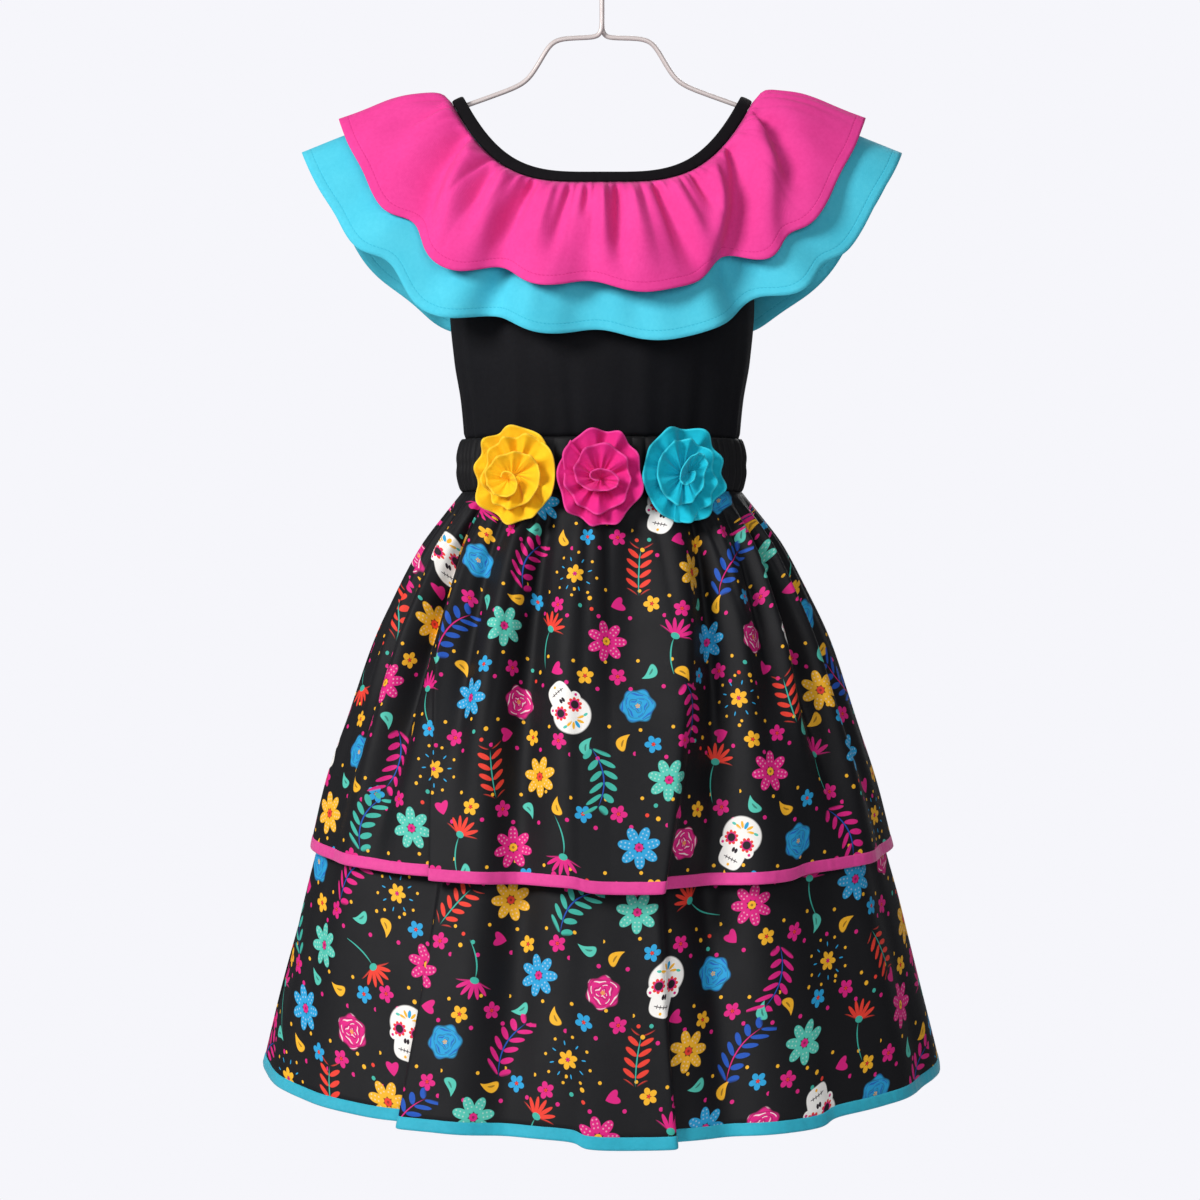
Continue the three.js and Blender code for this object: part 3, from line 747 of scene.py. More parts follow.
def woven(name, columns, rows, place, wall=0.0, laid=(0, 0)):
    """A sheet of cloth through place(across, down), both from 0 to 1, with its flat size and area.

    The UV map "cut" lays it out flat: across from the middle of each row, up from the lower edge.
    laid shifts it over the print.
    """
    points = [[place(i / columns, j / rows) for j in range(rows + 1)] for i in range(columns + 1)]
    across = [[0.0] * (rows + 1)]
    for before, column in zip(points, points[1:]):
        across.append([done + (a - b).length for done, a, b in zip(across[-1], column, before)])
    up = []
    for column in points:
        heights = [0.0]
        for low, high in zip(column[::-1], column[-2::-1]):
            heights.append(heights[-1] + (high - low).length)
        up.append(heights[::-1])
    widths = across[-1]
    heights = [column[0] for column in up]

    sheet = bmesh.new()
    bmesh.ops.create_grid(sheet, x_segments=columns, y_segments=rows, size=0.5)
    flat = sheet.loops.layers.uv.new("cut")

    def spot(vert):
        return round((vert.co.x + 0.5) * columns), round((0.5 - vert.co.y) * rows)

    for face in sheet.faces:
        face.smooth = True
        for loop in face.loops:
            i, j = spot(loop.vert)
            loop[flat].uv = ((across[i][j] - widths[j] / 2 + laid[0]) * MM, (up[i][j] + laid[1]) * MM)
    for vert in sheet.verts:
        i, j = spot(vert)
        vert.co = points[i][j] * MM
    bmesh.ops.remove_doubles(sheet, verts=sheet.verts, dist=1e-6)
    mesh = bpy.data.meshes.new(name)
    sheet.to_mesh(mesh)
    sheet.free()
    piece = bpy.data.objects.new(name, mesh)
    bpy.context.collection.objects.link(piece)
    if wall > 0:
        thickness = piece.modifiers.new("wall", "SOLIDIFY")
        thickness.thickness = wall * MM
        thickness.offset = -1
    size = (max(widths) * MM, max(heights) * MM)
    area = sum(widths) / (rows + 1) * sum(heights) / (columns + 1) * MM * MM
    return piece, size, area


def worn(piece, material, slot, *nodes):
    """Gives a piece its material, hangs it under the root body and hides the CAD parts that it replaces;
    slot is not used.
    """
    piece.data.materials.append(material)
    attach(piece, "root")
    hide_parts(*nodes)
    return piece


# Materials


class Field:
    """A number that varies over a surface. Sums on it become Math nodes."""

    def __init__(self, nodes, socket):
        self.nodes = nodes
        self.socket = socket

    def __add__(self, other):
        return self.nodes.number("ADD", self, other)

    __radd__ = __add__

    def __sub__(self, other):
        return self.nodes.number("SUBTRACT", self, other)

    def __rsub__(self, other):
        return self.nodes.number("SUBTRACT", other, self)

    def __mul__(self, other):
        return self.nodes.number("MULTIPLY", self, other)

    __rmul__ = __mul__

    def __truediv__(self, other):
        return self.nodes.number("DIVIDE", self, other)

    def __rtruediv__(self, other):
        return self.nodes.number("DIVIDE", other, self)

    def __mod__(self, other):
        return self.nodes.number("FLOORED_MODULO", self, other)

    def __abs__(self):
        return self.nodes.number("ABSOLUTE", self)


class Nodes:
    """The shader nodes of one material, and the surface that they feed."""

    def __init__(self, name):
        self.material = bpy.data.materials.new(name)
        self.material.use_nodes = True
        self.tree = self.material.node_tree
        self.surface = self.tree.nodes["Principled BSDF"]

    def node(self, kind, settings=None, inputs=None):
        made = self.tree.nodes.new(kind)
        for name, value in (settings or {}).items():
            setattr(made, name, value)
        for name, value in (inputs or {}).items():
            self.feed(made.inputs[name], value)
        return made

    def feed(self, socket, value):
        if isinstance(value, Field):
            value = value.socket
        if isinstance(value, bpy.types.NodeSocket):
            self.tree.links.new(value, socket)
        else:
            socket.default_value = value

    def number(self, operation, *values, clamped=False):
        settings = {"operation": operation, "use_clamp": clamped}
        made = self.node("ShaderNodeMath", settings, dict(enumerate(values)))
        return Field(self, made.outputs[0])

    def over(self, under, colour, mask):
        """A colour painted over another where the mask is 1."""
        made = self.node("ShaderNodeMix", {"data_type": "RGBA"}, {0: mask, 6: under, 7: colour})
        return made.outputs[2]

    def cut(self):
        """Places on the flat cut in millimetres, across and up."""
        made = self.node("ShaderNodeUVMap", {"uv_map": "cut"})
        split = self.node("ShaderNodeSeparateXYZ", None, {0: made.outputs[0]})
        return Field(self, split.outputs[0]) * (1 / MM), Field(self, split.outputs[1]) * (1 / MM)

    def speckle(self, scale, detail=3.0):
        """Soft noise from 0 to 1 over the piece's place."""
        place = self.node("ShaderNodeTexCoord").outputs["Object"]
        settings = {"Vector": place, "Scale": scale, "Detail": detail}
        return Field(self, self.node("ShaderNodeTexNoise", None, settings).outputs["Fac"])

    def finish(self, **values):
        for name, value in values.items():
            self.feed(self.surface.inputs[name.replace("_", " ")], value)
        return self.material


def paint(red, green, blue):
    """A colour for a socket, from the 0 to 255 numbers of a paint chart."""

    def linear(value):
        share = value / 255
        return share / 12.92 if share <= 0.04045 else ((share + 0.055) / 1.055) ** 2.4

    return (linear(red), linear(green), linear(blue), 1)


RELIEF = 0.3 * MM  # the height of the weave and the stitches


def weave(nodes, across, up, thread, lift):
    """A plain weave's relief as a normal, and its threads as a field from -1 to 1."""
    over = nodes.number("SINE", across * (math.pi / thread))
    over_under = over * nodes.number("SINE", up * (math.pi / thread))
    fibre = nodes.speckle(900, 2.0)
    height = over_under * 0.6 + fibre * 0.8
    settings = {"Strength": lift, "Distance": RELIEF, "Height": height}
    return nodes.node("ShaderNodeBump", None, settings).outputs[0], over_under


def plain_cloth(
    name, colour, shade, thread=0.42, roughness=0.72, sheen=0.25, stitch=(), gloss=0.3, rim_highlight=None
):
    """Woven cloth of one colour.

    stitch gives the heights of stitch lines above the lower edge, and the rim colour is a painted
    highlight along that rolled edge.
    """
    nodes = Nodes(name)
    across, up = nodes.cut()
    patchy = nodes.speckle(38)
    fine = nodes.speckle(420)
    mask = nodes.number("MULTIPLY_ADD", patchy, 0.7, fine * 0.5 - 0.3, clamped=True)
    colour = nodes.over(colour, shade, mask)
    normal, over_under = weave(nodes, across, up, thread, 0.35)
    dark = nodes.number("MULTIPLY_ADD", over_under, 0.06, 0.06, clamped=True)
    colour = nodes.over(colour, shade, dark)
    if rim_highlight:
        # a lighter colour painted along the free edge: a painted highlight of the rolled rim
        colour = nodes.over(colour, rim_highlight, inside(nodes, up / RIM_HIGHLIGHT_WIDTH, 3) * 0.5)
    for line in stitch:
        thread_mask = stitch_line(nodes, across, up, line)
        colour = nodes.over(colour, shade, thread_mask)
        dimple = 1 - inside(nodes, abs(up - line) / STITCH_DIMPLE, 1) - thread_mask * 0.5
        settings = {"Strength": 0.4, "Distance": RELIEF, "Height": dimple, "Normal": normal}
        normal = nodes.node("ShaderNodeBump", None, settings).outputs[0]
    rough = nodes.number("MULTIPLY_ADD", fine, 0.12, roughness - 0.06)
    return nodes.finish(
        Base_Color=colour,
        Roughness=rough,
        Normal=normal,
        Sheen_Weight=sheen,
        Sheen_Roughness=0.45,
        Specular_IOR_Level=gloss,
    )


def inside(nodes, distance, sharp):
    """A mask that is 1 where a distance is under 1, with a soft edge."""
    return nodes.number("MULTIPLY_ADD", distance, -sharp, sharp, clamped=True)


STITCH_PITCH = 2.6
STITCH_SHARE = 0.64  # of the pitch that shows as thread
STITCH_DIMPLE = 0.9
RIM_HIGHLIGHT_WIDTH = 1.3


def stitch_line(nodes, across, up, line):
    """Stitches along a line at a height above the lower edge."""
    dash = nodes.number("LESS_THAN", (across / STITCH_PITCH) % 1, STITCH_SHARE)
    return inside(nodes, abs(up - line) / 0.3, 3) * dash


# Printed cloth

MOTIF_WIDE = 41  # between the print's large motifs, across and up
MOTIF_TALL = 45
SMALL_KINDS = 8
LARGE_KINDS = 13

NIGHT = paint(11, 11, 16)
NIGHT_SHADE = paint(6, 6, 10)
CREAM = paint(246, 243, 238)
SKY = paint(38, 160, 214)
MINT = paint(84, 198, 178)
CERISE = paint(222, 28, 128)
SUN = paint(247, 182, 38)
FLAME = paint(236, 62, 46)
ROYAL = paint(28, 84, 184)
LEAF = paint(60, 178, 160)
INK = paint(34, 20, 32)


class Print:
    """Draws motifs into a running colour. Lengths are millimetres on the flat cut."""

    def __init__(self, nodes, colour):
        self.nodes = nodes
        self.colour = colour

    def paint(self, colour, mask):
        self.colour = self.nodes.over(self.colour, colour, mask)

    def length(self, x, y):
        return self.nodes.number("SQRT", x * x + y * y)

    def oval(self, x, y, half_wide, half_tall, sharp=6):
        """A mask inside an oval."""
        wide = x / half_wide
        tall = y / half_tall
        return inside(self.nodes, wide * wide + tall * tall, sharp)

    def petals(self, x, y, count, reach, half_long, half_wide, spin=0.0):
        """A mask of petals round a centre, and the place along and across the nearest petal."""
        step = TURN / count
        turn = self.nodes.number("ARCTAN2", y, x) + spin
        off = turn % step - step / 2
        far = self.length(x, y)
        along = far * self.nodes.number("COSINE", off)
        aside = far * self.nodes.number("SINE", off)
        return self.oval(along - reach, aside, half_long, half_wide), along, aside

    def flower(self, x, y, size, count, petal, heart, on, dots=True):
        """A flower with dotted petals and a round heart."""
        mask, along, aside = self.petals(x, y, count, 0.6 * size, 0.42 * size, 1.75 * size / count)
        self.paint(petal, mask * on)
        if dots:
            pitch = 0.19 * size
            dot_x = (along / pitch) % 1 - 0.5
            dot_y = (aside / pitch) % 1 - 0.5
            dot = inside(self.nodes, (dot_x * dot_x + dot_y * dot_y) * 16, 2)
            inner = inside(self.nodes, abs(along - 0.68 * size) / (0.3 * size), 4)
            self.paint(CREAM, mask * dot * inner * on * 0.35)
        self.paint(heart, self.oval(x, y, 0.2 * size, 0.2 * size) * on)
        self.paint(INK, self.oval(x, y, 0.07 * size, 0.07 * size) * on * 0.6)

    def spray(self, x, y, half_long, curve, gap, leaf, leaves, stem, on):
        """A stem with leaves in pairs, which lean towards its tip."""
        bent = x - y * y * curve
        side = abs(bent)
        step = (((y - side * 0.6) / gap) % 1 - 0.5) * gap
        leaf_mask = self.oval(side - leaf[0] - 0.4, step, leaf[0], leaf[1], 5)
        within = inside(self.nodes, abs(y - side * 0.6) / half_long, 12)
        self.paint(leaves, leaf_mask * within * on)
        self.paint(stem, self.oval(bent, y, 0.5, half_long, 2) * on)

    def rose(self, x, y, size, on, outer, light):
        """A round rose, its petals drawn with broken strokes."""
        turn = self.nodes.number("ARCTAN2", y, x)
        far = self.length(x, y)
        lobes = self.nodes.number("SINE", turn * 6 + 0.6)
        mask = inside(self.nodes, far / size - lobes * 0.07 + 0.06, 8)
        self.paint(outer, mask * on)
        swirl = self.nodes.number("SINE", turn * 3 + far * 0.5)
        curl = (far / (0.3 * size) + swirl * 0.28 + turn / TURN) % 1
        broken = self.nodes.number("GREATER_THAN", self.nodes.number("SINE", turn * 5 - far * 0.8), -0.4)
        stroke = inside(self.nodes, abs(curl - 0.5) / 0.13, 3)
        self.paint(light, stroke * broken * mask * on * 0.8)
        deep = inside(self.nodes, abs(curl - 0.8) / 0.1, 3)
        self.paint(INK, deep * mask * on * 0.4)
        self.paint(SUN, self.oval(x, y, 0.13 * size, 0.13 * size) * broken * on * 0.9)

    def fan(self, x, y, on, petal):
        """A half-open bloom on a thin bent stalk."""
        bloom = y - 5
        mask, _, _ = self.petals(x, bloom, 14, 7.6, 5.6, 1.35)
        upper = inside(self.nodes, (abs(x) * 0.25 - bloom) / 3 + 1, 3)
        stalk = x - (bloom * bloom) * 0.02
        self.paint(LEAF, self.oval(stalk, bloom + 12, 0.6, 12, 2) * on)
        self.paint(petal, mask * upper * on)
        self.paint(LEAF, self.oval(x, bloom - 0.8, 3.0, 2.2) * on)

    def burst(self, x, y, on):
        """A small flower in a ring of dashes and dots."""
        self.flower(x, y, 6.2, 6, SUN, CERISE, on, dots=False)
        mask, _, _ = self.petals(x, y, 8, 10.4, 1.5, 0.45)
        self.paint(SKY, mask * on)
        beads, _, _ = self.petals(x, y, 8, 14.6, 1.0, 1.0, spin=0.4)
        self.paint(SUN, beads * on)

    def skull(self, x, y, on):
        """A sugar skull: round brow, narrow jaw, petal-ringed eyes, stitched mouth."""
        nodes = self.nodes
        x = x * 0.93
        y = y * 0.92
        side = abs(x)
        brow = self.oval(x, y - 4, 12.4, 11.8, 7)
        jaw_x = side / 7.9
        jaw_y = (y + 8.5) / 8.6
        square = jaw_x * jaw_x * jaw_x + abs(jaw_y * jaw_y * jaw_y)
        jaw = inside(nodes, square, 6)
        cheek = self.oval(side - 8.2, y + 3.2, 3.2, 3.6)
        self.paint(CREAM, nodes.number("MAXIMUM", nodes.number("MAXIMUM", brow, jaw), cheek) * on)
        eye_x = side - 5.3
        eye_y = y - 0.4
        ring, _, _ = self.petals(eye_x, eye_y, 9, 3.1, 1.4, 1.05)
        self.paint(FLAME, ring * on)
        self.paint(CERISE, self.oval(eye_x, eye_y, 3.2, 3.2) * on)
        self.paint(INK, self.oval(eye_x, eye_y, 2.5, 2.5) * on)
        self.paint(INK, self.oval(side - 0.9, y + 5.4, 0.95, 1.6) * on)
        mouth = inside(nodes, abs(y + 11) / 0.35, 2) * inside(nodes, side / 5, 8)
        tick = inside(nodes, abs((x / 2) % 1 - 0.5) / 0.14, 2) * inside(nodes, side / 4.6, 8)
        self.paint(INK, mouth * on)
        self.paint(INK, tick * inside(nodes, abs(y + 11) / 1.3, 4) * on)
        crown, _, _ = self.petals(x, y - 6.6, 10, 4.3, 2.3, 0.85)
        upper = inside(nodes, (6.8 - y) / 2 + 1, 2)
        self.paint(SUN, crown * upper * on)
        self.paint(SKY, self.oval(x, y - 10.6, 1.1, 2.4) * on)
        self.paint(MINT, self.oval(side - 7.4, y - 8.4, 1.5, 0.8) * on)
        self.paint(CERISE, self.oval(side - 9.2, y + 4.2, 0.9, 0.9) * on)
        self.paint(SUN, self.oval(x, y + 14.6, 0.9, 0.9) * on)

    def heart(self, x, y, on):
        side = abs(x)
        lobe = y - side * 0.75 + 0.6
        self.paint(CERISE, self.oval(side, lobe, 4.6, 3.9) * on)

    def drop(self, x, y, on, colour):
        """A drop with a bent tip."""
        bent = x - y * y * 0.06
        taper = bent / (1.1 - y / 7.5)
        self.paint(colour, self.oval(taper, y, 2.7, 6.2) * on)
        self.paint(NIGHT, self.oval(taper - 0.5, y + 1.2, 0.5, 2.4) * on * 0.6)


def chosen(nodes, chart, number):
    """A mask that is 1 in the cells whose chart number is this one."""
    return nodes.number("COMPARE", chart, number, 0.5)


def turned(nodes, x, y, angle):
    """A place turned about the origin."""
    c = nodes.number("COSINE", angle)
    s = nodes.number("SINE", angle)
    return x * c + y * s, y * c - x * s


def cell_chance(nodes, column, row, seed):
    """Three numbers from 0 to 1 that stay the same all over a cell."""
    place = nodes.node("ShaderNodeCombineXYZ", None, {0: column, 1: row, 2: seed})
    chance = nodes.node("ShaderNodeTexWhiteNoise", None, {"Vector": place.outputs[0]})
    split = nodes.node("ShaderNodeSeparateColor", None, {0: chance.outputs["Color"]})
    return [Field(nodes, socket) for socket in split.outputs[:3]]


def motif_cell(nodes, across, up, wide, tall, stagger, slack, seed):
    """The cell that a place is in, the place from the cell's uneven middle, and three chances."""
    row = nodes.number("FLOOR", up / tall)
    shifted = across + (row % 2) * stagger
    column = nodes.number("FLOOR", shifted / wide)
    a, b, c = cell_chance(nodes, column, row, seed)
    x = shifted - (column + 0.5) * wide + (a - 0.5) * slack
    y = up - (row + 0.5) * tall + (b - 0.5) * slack
    return column, row, x, y, a, b, c


def printed_cloth(name):
    """Near-black cotton with skulls, flowers and sprays in a staggered order."""
    nodes = Nodes(name)
    across, up = nodes.cut()
    patchy = nodes.speckle(45)
    motifs = Print(nodes, nodes.over(NIGHT, NIGHT_SHADE, patchy))

    # Small motifs, halfway between the rows of large ones
    small_wide = MOTIF_WIDE / 2
    column, row, x, y, _, _, c = motif_cell(
        nodes, across, up + MOTIF_TALL / 2, small_wide, MOTIF_TALL, 0, 5, 3
    )
    motifs.paint(CERISE, motifs.oval(x - 8, y + 8, 1.4, 1.4))
    motifs.paint(SUN, motifs.oval(x + 8, y - 9, 1.2, 1.2))
    x, y = turned(nodes, x, y, c * TURN)
    kind = (column * 3 + row * 2) % SMALL_KINDS
    motifs.heart(x, y, chosen(nodes, kind, 0))
    motifs.drop(x, y, chosen(nodes, kind, 1), MINT)
    motifs.drop(x, y, chosen(nodes, kind, 4), SUN)
    petal = nodes.over(nodes.over(CERISE, SUN, chosen(nodes, kind, 3)), SKY, chosen(nodes, kind, 7))
    flowered = sum(chosen(nodes, kind, number) for number in (2, 3, 6, 7))
    motifs.flower(x, y, 5.6, 5, petal, FLAME, flowered, dots=False)
    beads = chosen(nodes, kind, 5)
    motifs.paint(SUN, motifs.oval(x + 4, y - 2, 1.5, 1.5) * beads)
    motifs.paint(LEAF, motifs.oval(x - 2, y + 4, 1.4, 1.4) * beads)
    motifs.paint(FLAME, motifs.oval(x - 3, y - 4, 1.3, 1.3) * beads)

    # Large motifs in staggered rows
    column, row, x, y, a, b, c = motif_cell(
        nodes, across, up, MOTIF_WIDE, MOTIF_TALL, MOTIF_WIDE / 2, 7, 7
    )
    upturned = nodes.number("GREATER_THAN", a, 0.7)
    x, y = turned(nodes, x, y, (c - 0.5) * 1.5 + upturned * math.pi)
    kind = (column * 5 + row) % LARGE_KINDS
    other = nodes.number("GREATER_THAN", b, 0.5)
    pick = [chosen(nodes, kind, number) for number in range(LARGE_KINDS)]
    petal = nodes.over(nodes.over(nodes.over(SKY, CERISE, pick[3]), MINT, pick[6]), SUN, pick[9])
    heart = nodes.over(nodes.over(CERISE, SUN, pick[3]), FLAME, pick[9])
    motifs.flower(x, y, 13.4, 7, petal, heart, pick[0] + pick[3] + pick[6] + pick[9])
    leaves = nodes.over(nodes.over(LEAF, ROYAL, pick[1] * other), CERISE, pick[7])
    stems = nodes.over(ROYAL, CERISE, pick[1] * other)
    motifs.spray(x + 3, y, 20, 0.016, 7.2, (4.2, 2.1), leaves, stems, pick[1] + pick[7])
    motifs.spray(x, y, 16, 0.004, 6.6, (3.9, 1.9), FLAME, LEAF, pick[4])
    motifs.rose(x, y, 11.8, pick[2], SKY, ROYAL)
    motifs.rose(x, y, 11.4, pick[5], CERISE, CREAM)
    motifs.fan(x, y, pick[8] + pick[11], nodes.over(CERISE, FLAME, pick[11]))
    motifs.burst(x, y, pick[12])
    motifs.skull(x, y, pick[10])

    normal, over_under = weave(nodes, across, up, 0.4, 0.3)
    dark = nodes.number("MULTIPLY_ADD", over_under, 0.06, 0.06, clamped=True)
    colour = nodes.over(motifs.colour, NIGHT_SHADE, dark)
    return nodes.finish(
        Base_Color=colour,
        Roughness=nodes.number("MULTIPLY_ADD", patchy, 0.1, 0.54),
        Normal=normal,
        Sheen_Weight=0.02,
        Sheen_Roughness=0.5,
        Specular_IOR_Level=0.24,
    )


def coated_wire():
    nodes = Nodes("coated_wire")
    patchy = nodes.speckle(60)
    colour = nodes.over(paint(214, 203, 200), paint(196, 184, 182), patchy)
    return nodes.finish(
        Base_Color=colour,
        Roughness=nodes.number("MULTIPLY_ADD", patchy, 0.1, 0.3),
        Metallic=0.1,
        Coat_Weight=0.4,
        Coat_Roughness=0.2,
    )


BLACK = plain_cloth("black_cotton", paint(13, 13, 18), paint(8, 8, 12), sheen=0.02, gloss=0.15)
BLACK_RIB = plain_cloth(
    "black_gathered", paint(13, 12, 15), paint(7, 7, 9), roughness=0.58, sheen=0.02, gloss=0.24
)
BLACK_NECK = plain_cloth(
    "black_neckline", paint(14, 12, 16), paint(7, 6, 9), roughness=0.8, sheen=0.02, gloss=0.14
)
PINK = plain_cloth(
    "pink_cotton", paint(238, 68, 156), paint(212, 36, 126), roughness=0.8, sheen=0.05, stitch=(6.2,)
)
AQUA = plain_cloth(
    "aqua_cotton", paint(84, 204, 226), paint(46, 178, 206), roughness=0.8, sheen=0.05, stitch=(6.2,)
)
PINK_BINDING = plain_cloth(
    "pink_binding", paint(232, 66, 154), paint(196, 40, 124), thread=0.3, roughness=0.5, sheen=0.3
)
AQUA_BINDING = plain_cloth(
    "aqua_binding", paint(42, 180, 204), paint(20, 146, 170), thread=0.3, roughness=0.5, sheen=0.3
)
PRINTED = printed_cloth("printed_cotton")
WIRE_COAT = coated_wire()


# Hanger


def bent_wire(name, points):
    """A round wire through a list of points."""
    path = bpy.data.curves.new(name, "CURVE")
    path.dimensions = "3D"
    path.bevel_depth = WIRE / 2 * MM
    path.bevel_resolution = 5
    path.resolution_u = 5
    path.use_fill_caps = True
    run = path.splines.new("NURBS")
    run.points.add(len(points) - 1)
    for knot, place in zip(run.points, points):
        knot.co = (*(Vector(place) * MM), 1)
    run.order_u = 4
    run.use_endpoint_u = True
    bent = bpy.data.objects.new(name, path)
    bpy.context.collection.objects.link(bent)
    bpy.context.view_layer.update()
    mesh = bpy.data.meshes.new_from_object(bent.evaluated_get(bpy.context.evaluated_depsgraph_get()))
    bpy.data.objects.remove(bent)
    piece = bpy.data.objects.new(name, mesh)
    bpy.context.collection.objects.link(piece)
    for face in mesh.polygons:
        face.use_smooth = True
    return piece


def arm_points(side, depth):
    corner = 6
    shoulder_x, shoulder_z = WIRE_SHOULDER
    tip_x, tip_z = WIRE_TIP
    return [
        (0, depth, CROSS_Z + 2.2 * corner),
        (0, depth, CROSS_Z + corner),
        (side * 0.3 * corner, depth * 0.9, CROSS_Z + 0.25 * corner),
        (side * 1.1 * corner, depth * 0.6, CROSS_Z),
        (side * (CROSS_HALF - corner), 0, CROSS_Z),
        (side * (CROSS_HALF + 2), 0, CROSS_Z - 2.4),
        (side * (CROSS_HALF + 7), 0, CROSS_Z - 9),
        (side * (shoulder_x - 16), 0, shoulder_z + 8),
        (side * (shoulder_x - 8), 0, shoulder_z + 2.2),
        (side * (shoulder_x + 4), 0, shoulder_z - 2.6),
        (side * mix(shoulder_x, tip_x, 0.5), 0, mix(shoulder_z, tip_z, 0.5)),
        (side * tip_x, 0, tip_z),
    ]


def hook_points():
    centre_z = WIRE / 2 - HOOK_RADIUS
    turns = [math.radians(mix(HOOK_OPEN_ANGLE, 0, i / 12)) for i in range(13)]
    return [
        (HOOK_RADIUS * (math.cos(turn) - 1), -STEM_DEPTH, centre_z + HOOK_RADIUS * math.sin(turn))
        for turn in turns
    ]


hook_arm = bent_wire(
    "hook_and_arm",
    [*hook_points(), (0, -STEM_DEPTH, -40), (0, -STEM_DEPTH, -58), *arm_points(-1, -STEM_DEPTH)],
)
worn(hook_arm, WIRE_COAT, "coated_wire", "hanger_hook_arm")
arm = bent_wire(
    "second_arm",
    [(0, STEM_DEPTH, STEM_JOIN_Z), (0, STEM_DEPTH, -62), *arm_points(1, STEM_DEPTH)],
)
worn(arm, WIRE_COAT, "coated_wire", "hanger_arm")


# Flounces, neck binding, bodice and waistband


def ring_sheet(name, place, columns, rows, wall):
    """A cloth that goes all round, with even columns along its lower edge."""
    angle, _ = angle_by_length(place, -90, 270, 1)
    return woven(name, columns, rows, lambda across, down: place(angle(across), down), wall)


def roll_sheet(name, place, columns, rows):
    """A strip folded round an edge: a closed roll that goes all round."""
    angle, _ = angle_by_length(place, -90, 270, 0.25)
    piece, size, _ = woven(name, columns, rows, lambda across, section: place(angle(across), section))
    return piece, size[0]


def dress_sheet(made, material, slot, node):
    """Finishes a sheet of cloth: gives it its material, hangs it under the root body and hides the CAD
    part that it replaces.
    """
    piece, size, area = made
    worn(piece, material, slot, node)


dress_sheet(
    ring_sheet("upper_flounce", flounce_place(PINK_FLOUNCE), 660, 36, COTTON),
    PINK,
    "pink_cloth",
    "flounce_pink",
)
dress_sheet(
    ring_sheet("lower_flounce", flounce_place(AQUA_FLOUNCE), 480, 34, COTTON),
    AQUA,
    "aqua_cloth",
    "flounce_aqua",
)

binding, binding_length = roll_sheet("neckline_binding", neck_binding_place, 420, 16)
worn(binding, BLACK_NECK, "black_cloth", "neck_binding")

for side, turn in (("front", 0), ("back", 180)):

    def panel_place(across, down, turn=turn):
        return bodice_place(turn + mix(-90, 90, across), down)

    dress_sheet(
        woven(f"bodice_{side}_panel", 170, 60, panel_place, BODICE_CLOTH),
        BLACK,
        "black_cloth",
        f"bodice_{side}",
    )

dress_sheet(
    ring_sheet("gathered_waistband", band_place, 620, 22, BAND_CLOTH),
    BLACK_RIB,
    "black_cloth",
    "waistband",
)


# Skirt tiers


def tier_panel(name, tier, start, end, columns, rows, laid):
    place = tier_place(tier)
    last = 1 - 0.5 * BINDING_WIDTH / tier.side
    angle, _ = angle_by_length(place, start, end, 1)

    def panel_place(across, down):
        return place(angle(across), down * last)

    return woven(name, columns, rows, panel_place, COTTON, laid)


for name, tier, laid_up in (("upper", UPPER_TIER, 0), ("lower", LOWER_TIER, 3.4 * MOTIF_TALL)):
    for side, turn, laid_across in (("front", 0, 0), ("back", 180, 6.3 * MOTIF_WIDE)):
        laid = (laid_across, laid_up)
        dress_sheet(
            tier_panel(f"{name}_tier_{side}", tier, turn - 90, turn + 90, 330, 56, laid),
            PRINTED,
            "printed_cloth",
            f"skirt_{name}_{side}",
        )

for name, tier, material, slot, node in (
    ("upper", UPPER_TIER, PINK_BINDING, "pink_binding", "hem_binding_pink"),
    ("lower", LOWER_TIER, AQUA_BINDING, "turquoise_binding", "hem_binding_aqua"),
):
    edging, length = roll_sheet(f"{name}_tier_binding", binding_place(tier), 900, 10)
    worn(edging, material, slot, node)


# Rosettes: cloth, its darker tone and the painted highlight along its rolled rim

YELLOWS = (paint(255, 204, 24), paint(255, 182, 12), paint(255, 214, 64))
MAGENTAS = (paint(232, 36, 136), paint(204, 24, 112), paint(238, 80, 162))
TEALS = (paint(8, 196, 220), paint(4, 162, 186), paint(60, 212, 230))
ROSETTES = [
    Rosette("rosette_yellow", -53.8, -373, -17, 0.4, Bud(-4, -3, 0.8, -25), YELLOWS, "yellow_cloth"),
    Rosette("rosette_pink", -1.5, -375.4, 0, 2.3, Bud(0, -1, 0.5, -8), MAGENTAS, "magenta_cloth"),
    Rosette("rosette_teal", 50.2, -373.5, 17, 4.4, Bud(2.5, 1, 0.56, 52), TEALS, "teal_cloth"),
]
ROSETTE_TURNS = 3.3
ROSETTE_STAND = 51.6  # from the dress's middle to the back of a rosette at the centre front
ROSETTE_HALF_WAIST = 94  # half the width of the waistband's curve that they follow
ROSETTE_CLOTH = 0.8
ROSETTE_SIZE = 27.2
ROSETTE_TALL = 1.14  # of its width
ROSETTE_LEAN = 0.17  # how far its lower half stands off, against its height, over the flared skirt

